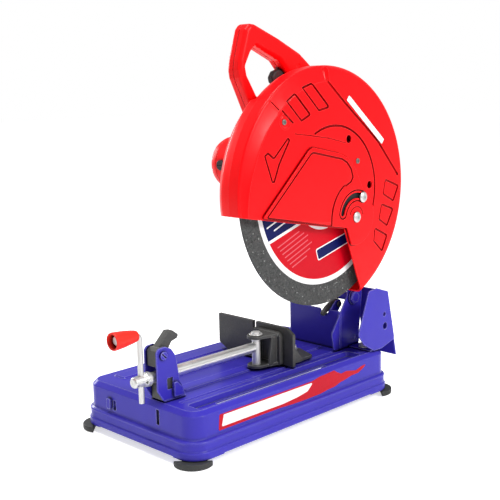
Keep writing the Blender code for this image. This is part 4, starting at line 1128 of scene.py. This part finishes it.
def guard():
    relief = guard_relief()
    outline = guard_outline(GUARD_RADIUS)
    rings = [circle(SPINDLE, radius, 200) for radius in (178, 181, 183.5, 184.8, 185.8, 186.6, 186.9)]
    lines = [face_line_loop(0.0), face_line_loop(STEP_WIDTH)]
    wells = [circle(spot, 6.5, 32) for spot in ((127.1, 424.9), (179.0, 350.3))]
    flat, faces = triangles([outline, *wells], rings + lines + relief_lines(relief))
    drop, reach = shoulder_drop(flat)
    pressed = np.minimum(relief_height(flat, relief), 0)
    height = GUARD_FACE - drop + pressed * np.clip((GUARD_RADIUS - reach) / 9, 0, 1)
    points = [(w, u, v) for (u, v), w in zip(flat, height)]
    made_faces = [tuple(f) for f in faces]
    rim = [pair for pair in border(faces) if min(reach[pair[0]], reach[pair[1]]) > GUARD_RADIUS - 0.05]
    points, made_faces = add_band(points, made_faces, rim, (97.0, GUARD_SEAM + 1.2, GUARD_SEAM + 0.3))
    made = link("guard_cover_skin", [(points, made_faces)], [PAINTS["red_paint"]])
    face_towards(made, Vector((1, 0, 0)))
    thicken(made, GUARD_WALL)
    settle(made, "guard_cover")

    inner = circle(SPINDLE, 22, 60)
    left, rim = GUARD_LEFT, (GUARD_RADIUS, GUARD_SEAM - 0.2)
    visor = ((0, left), (168, left), (170.2, left + 0.4), (172, left + 1.5), (184, 63.5), (185.2, 67), rim)
    behind = ((0, left), (157, left), (159.4, left + 0.4), (161.5, left + 1.7), (184, 72), (186, 76), rim)
    rings = [circle(SPINDLE, radius, 200) for radius, _ in (*visor[1:-1], *behind[1:-1])]
    step = (VISOR_END - 0.5, VISOR_END)
    rings.append(arc(SPINDLE, 150, *step, 1) + arc(SPINDLE, 195, *step[::-1], 1))
    relief = []
    for start in (15, 60, 105):
        web = arc(SPINDLE, 150, start, start + 34, 10) + arc(SPINDLE, 70, start + 34, start, 8)
        relief.append((rounded(web, 6, 4), 2.0, 1.5))
    flat, faces = triangles([guard_outline(GUARD_RADIUS), inner], rings + relief_lines(relief))
    reach, angle = polar(flat)
    front = (angle > VISOR_END - 0.25) & (angle < 200)
    height = np.where(front, np.interp(reach, *zip(*visor)), np.interp(reach, *zip(*behind)))
    height = height + relief_height(flat, relief)
    points = [(w, u, v) for (u, v), w in zip(flat, height)]
    made = link("guard_body_skin", [(points, [tuple(f) for f in faces])], [PAINTS["red_paint"]])
    face_towards(made, Vector((-1, 0, 0)))
    thicken(made, GUARD_WALL)
    settle(made, "guard_body")


def add_band(points, faces, rim, places):
    """Carries the rim's edges along X through the places, as the guard's outer band."""
    points, faces = list(points), list(faces)
    above = {i: i for pair in rim for i in pair}
    for along in places:
        below = {}
        for i, start in above.items():
            below[i] = len(points)
            points.append((along, points[start][1], points[start][2]))
        faces += [(above[b], above[a], below[a], below[b]) for a, b in rim]
        above = below
    return points, faces


def face_towards(made, direction):
    """Turns a sheet's normals so that most of its area faces the direction."""
    outward(made.data)
    total = sum((p.normal.dot(direction) * p.area for p in made.data.polygons))
    if total < 0:
        made.data.flip_normals()


def access_cover():
    outline = [(-68, 323.6), (32, 414), (40, 417), (98, 405), (122, 396), (138, 380)]
    outline += arc(COVER_PIVOT, 44, 65, -105, 30) + [(118, 288.5)]
    slot = band(COVER_PIVOT, 34, 4.3, 62, 165)
    hole = circle(COVER_PIVOT, 4.3, 32)
    ring = band(COVER_PIVOT, 34, 9.6, 62, 165)
    washer = band(COVER_PIVOT, 16.5, 1.3, 10, 160, 20)
    brim = [(-64, 322.4), (34, 409.5), (40, 411), (106, 397.5), (119, 391), (129, 380), (134, 366)]
    brim += [(128, 358), (113.5, 352)] + arc(COVER_PIVOT, 58, 118, 186, 14) + [(82, 295)]
    relief = grooved(rounded(brim, 3, 3), 3.2, 2.2, 0.6) + grooved(ring, 2.6, 1.9, 0.2)
    relief += [(washer, 0.8, -1.2)]
    loops = [rounded(outline, 2.0, 3), slot, hole]
    # A black strip under the cover's slot: painted shade in the gap behind it.
    shade_strip = slab([band(COVER_PIVOT, 34, 6, 62, 165)], "X", GUARD_FACE + 0.1, GUARD_FACE + 0.4, 0)
    plate = slab(loops, "X", COVER_LOW, COVER_TOP, 1.0, 0.3, relief=relief)
    look("access_cover", [(*plate, 0), (*shade_strip, 1)], [PAINTS["red_paint"], PAINTED_SHADE])


def guard_stripe():
    """A plain white stripe on the guard, alongside the diagonal step."""
    ends = ((124, 487.5), (212, 416.5))
    loop = rounded(inset_line(ends, 4.6), 1.5, 3)
    film = slab([loop], "X", GUARD_FACE + 0.3, GUARD_FACE + 0.85, 0.1)
    extra("guard_stripe", "head", [film], [LABEL_WHITE])


def handle():
    outer = [(-12, 470), (-37, 519), (-39, 531), (-37, 545), (-24, 588), (-16, 597), (-4, 596), (46, 577)]
    outer += [(93, 556), (118, 538), (125, 505), (112, 455), (98, 427), (30, 427), (0, 448)]
    window = [(-14, 556), (-4, 566), (47, 544), (66, 524), (62, 508), (30, 496), (8, 488), (-2, 492)]
    window += [(-22, 523), (-25, 536)]
    loops = [rounded(outer, 9, 7), rounded(window, 7, 6)]
    pad = rounded([(60, 440), (104, 440), (114, 500), (108, 530), (84, 545), (76, 520), (78, 480)], 8, 5)
    right = slab(loops, "X", HANDLE_SEAM + 0.15, HANDLE_RIGHT, 7.0, 0.7, 5, relief=[(pad, 2.0, -1.2)])
    look("handle_right", [right])
    screws = ((-28, 532), (-12, 585), (60, 562), (104, 520), (96, 450))
    wells = [(circle(spot, 3.4, 20), 0.6, -2.5) for spot in screws]
    left = slab(loops, "X", HANDLE_LEFT, HANDLE_SEAM - 0.15, 0.7, 7.0, 5, low_relief=wells)
    look("handle_left", [left])
    look("switch_body", [box((22, 83.3, 500.3), (40, 106.7, 534.7), 1.2)])
    blade = [(40, 512), (38, 520), (44, 529), (54, 532), (70, 529), (77, 519), (70, 509), (50, 506)]
    look("trigger", [slab([rounded(blade, 4, 5)], "X", 25, 37, 3.0, steps=4)])
    knob = [(0, 11), (6.5, 11), (6.5, 13.5), (5, 13.5), (5, 23), (0, 23)]
    centre = node_centre("lock_button", "yz")
    look("lock_button", [lathe(knob, "X", centre, 0.9, 40)])


def cord():
    x = HANDLE_SEAM
    bends = ((124, 522), (134, 520), (150, 508), (161, 488), (167, 462), (169, 436))
    path = smooth_path([(x, y, z) for y, z in bends], 10)
    sleeve = [(4.4, 118), (8.5, 118), (8.5, 123), (7.2, 126)]
    for k in range(4):
        fin, along = 6.8 - k * 0.3, 128 + k * 2.6
        sleeve += [(fin, along), (fin - 1, along + 0.4), (fin - 1, along + 1.8)]
    sleeve += [(4.6, 139), (4.4, 139)]
    look("power_cord", [tube(path, 4.4, 24), lathe(sleeve, "Y", (x, 521.0), 0.3, 40)])


# ---------------------------------------------------------------- wheel
def film(loops, low, high, paint):
    """A thin printed layer on a face across X, with the number of its paint."""
    return (*slab(loops, "X", low, high, 0), paint)


def wheel_label(skin):
    """A round red label with a white rim, a navy corner, a navy plate, and bars in place of print."""
    red, navy, white, pink = range(4)
    low, high = skin - 0.1, skin + 0.2
    corner = arc(SPINDLE, 136.8, 122, 208.5, 60) + [(40, 308), (60, 330), (60, 372)]
    plate = rounded([(68, 258), (73, 243), (146, 262), (141, 276)], 2.5, 3)
    plate_rim = rounded([(66, 259.5), (71.8, 241), (148.5, 260.8), (142.5, 278)], 3, 3)
    films = [
        film([circle(SPINDLE, 145.0, 200), circle(SPINDLE, 136.5, 200)], low, skin + 0.16, white),
        film([circle(SPINDLE, 137, 200), circle(SPINDLE, 30, 80)], low, skin + 0.12, red),
        film([circle(SPINDLE, 60, 120), circle(SPINDLE, 30, 80)], low, skin + 0.34, white),
        film([corner], skin, high, navy),
        film([inset_line(((-43, 281), (40, 307)), 2.2)], skin, high + 0.04, white),
        film([plate_rim], skin, high, white),
        film([plate], skin, high + 0.05, navy),
    ]
    along = Vector((0.93, 0.37)).normalized()
    for k, length in enumerate((50, 56, 60, 54, 58, 48, 34)):
        start = Vector((-18 + k * 5.2, 273.5 - k * 5.6))
        films.append(film([bar(start, start + along * length, 0.8)], skin, high + 0.02, pink))
    for k, length in enumerate((46, 32)):
        start = Vector((-40 + k * 15, 305 - k * 5))
        films.append(film([bar(start, start + along * length, 1.2)], skin, high + 0.06, white))
    extra("wheel_label", "wheel_group", films, [LABEL_RED, LABEL_NAVY, LABEL_WHITE, LABEL_PINK])


def wheel():
    low, high = WHEEL_X - WHEEL_THICK / 2, WHEEL_X + WHEEL_THICK / 2
    disc = [(12.7, low), (WHEEL_RADIUS, low), (WHEEL_RADIUS, high), (12.7, high)]
    look("abrasive_wheel", [lathe(disc, "X", SPINDLE, 0.5, 220)], [PAINTS["abrasive"]])
    wheel_label(high)
    face = high + 0.4
    outer = [(7.3, face), (38, face), (38, face + 2.4), (33, face + 4), (30, face + 6.5), (7.3, face + 6.5)]
    look("outer_flange", [lathe(outer, "X", SPINDLE, 0.7, 96)], [ZINC])
    seat = low - 0.3
    inner = [(7.3, 82.3), (30, 82.3), (38, 87), (38, seat), (12.4, seat), (12.4, high - 0.5)]
    inner += [(7.3, high - 0.5)]
    look("inner_flange", [lathe(inner, "X", SPINDLE, 0.6, 96)], [ZINC])
    washer = face + 6.8
    hex_bolt("wheel_bolt", "X", SPINDLE, 78, washer, washer + 6, 4, 17, None, 1.2)


def inset_line(ends, half_width):
    """A straight strip with square ends."""
    a, b = Vector(ends[0]), Vector(ends[1])
    side = (b - a).orthogonal().normalized() * half_width
    return [tuple(a - side), tuple(b - side), tuple(b + side), tuple(a + side)]


def carried_over():
    """CAD nodes whose shape is right keep it, and get a small rounding and their material."""
    for node in ("rear_bearing", "front_bearing", "stator", "armature_core", "commutator", "armature_shaft",
                 "spindle", "spindle_gear"):
        made = frame["nodes"][node]
        made.data.materials.clear()
        made.data.materials.append(PAINTS[SLOTS[node]])
        rounding = made.modifiers.new("edges", "BEVEL")
        rounding.width = 0.25 * MM
        rounding.segments = 2
        rounding.limit_method = "ANGLE"
        rounding.angle_limit = math.radians(40)


# ---------------------------------------------------------------- stage
def floor():
    mesh = bpy.data.meshes.new("floor")
    half = 14.0
    corners = [(-half, -half, 0), (half, -half, 0), (half, half, 0), (-half, half, 0)]
    mesh.from_pydata(corners, [], [(0, 1, 2, 3)])
    made = bpy.data.objects.new("floor", mesh)
    bpy.context.scene.collection.objects.link(made)
    n = Nodes("pale_floor")
    cloud = n.noise(3.0)
    n.put(n.shader.inputs["Base Color"], n.mix(cloud, (0.93, 0.93, 0.935, 1), (0.96, 0.96, 0.96, 1)))
    n.put(n.shader.inputs["Roughness"], n.between(cloud, 0.3, 0.7, 0.5, 0.6))
    n.put(n.shader.inputs["Emission Color"], (1, 1, 1, 1))
    seen = n.node("ShaderNodeLightPath").outputs["Is Camera Ray"]
    n.put(n.shader.inputs["Emission Strength"], n.between(seen, 0.0, 1.0, 0.25, 0.62))
    mesh.materials.append(n.material)


def area_light(name, spot, target, size, power):
    data = bpy.data.lights.new(name, "AREA")
    data.shape = "DISK"
    data.size = size
    data.energy = power
    made = bpy.data.objects.new(name, data)
    made.location = spot
    made.rotation_euler = (Vector(target) - Vector(spot)).to_track_quat("-Z", "Y").to_euler()
    bpy.context.scene.collection.objects.link(made)


def camera():
    """At the height of the handle, to the front right, with a trace of roll."""
    spot, target = Vector((1.0030, -0.9709, 0.5032)), Vector((0.00988, 0.01991, 0.25714))
    roll = math.radians(1.14)
    ahead = (target - spot).normalized()
    level = ahead.cross(Vector((0, 0, 1))).normalized()
    upright = level.cross(ahead)
    right = level * math.cos(roll) - upright * math.sin(roll)
    up = right.cross(ahead)
    data = bpy.data.cameras.new("camera")
    data.lens, data.sensor_width = 66.04, 36.0
    made = bpy.data.objects.new("camera", data)
    made.matrix_world = Matrix.Translation(spot) @ Matrix((right, up, -ahead)).transposed().to_4x4()
    bpy.context.scene.collection.objects.link(made)
    bpy.context.scene.camera = made


WORLD_LIGHT = 0.42


def stage():
    floor()
    world = bpy.data.worlds.new("studio")
    world.use_nodes = True
    tree = world.node_tree
    background = tree.nodes["Background"]
    background.inputs["Color"].default_value = (1.0, 1.0, 1.0, 1)
    seen = tree.nodes.new("ShaderNodeLightPath").outputs["Is Camera Ray"]
    strength = tree.nodes.new("ShaderNodeMapRange")
    tree.links.new(seen, strength.inputs["Value"])
    strength.inputs["To Min"].default_value = WORLD_LIGHT
    strength.inputs["To Max"].default_value = 1.0
    tree.links.new(strength.outputs["Result"], background.inputs["Strength"])
    bpy.context.scene.world = world
    area_light("key", (2.0, 0.3, 1.5), (0, 0, 0.25), 0.7, 34)
    area_light("top", (0.0, -0.2, 2.2), (0, 0, 0.1), 0.9, 30)
    area_light("left", (-2.0, 0.0, 0.9), (0, 0, 0.3), 0.8, 20)
    bpy.context.scene.view_settings.view_transform = "Standard"
    camera()


fasteners()
pressed_base()
feet()
side_decal()
bracket()
deflector()
spring()
fence()
vise_bracket()
lever()
jaw()
screw_and_crank()
hook()
head_arm()
gearbox()
motor()
guard()
access_cover()
guard_stripe()
handle()
cord()
wheel()
carried_over()
stage()
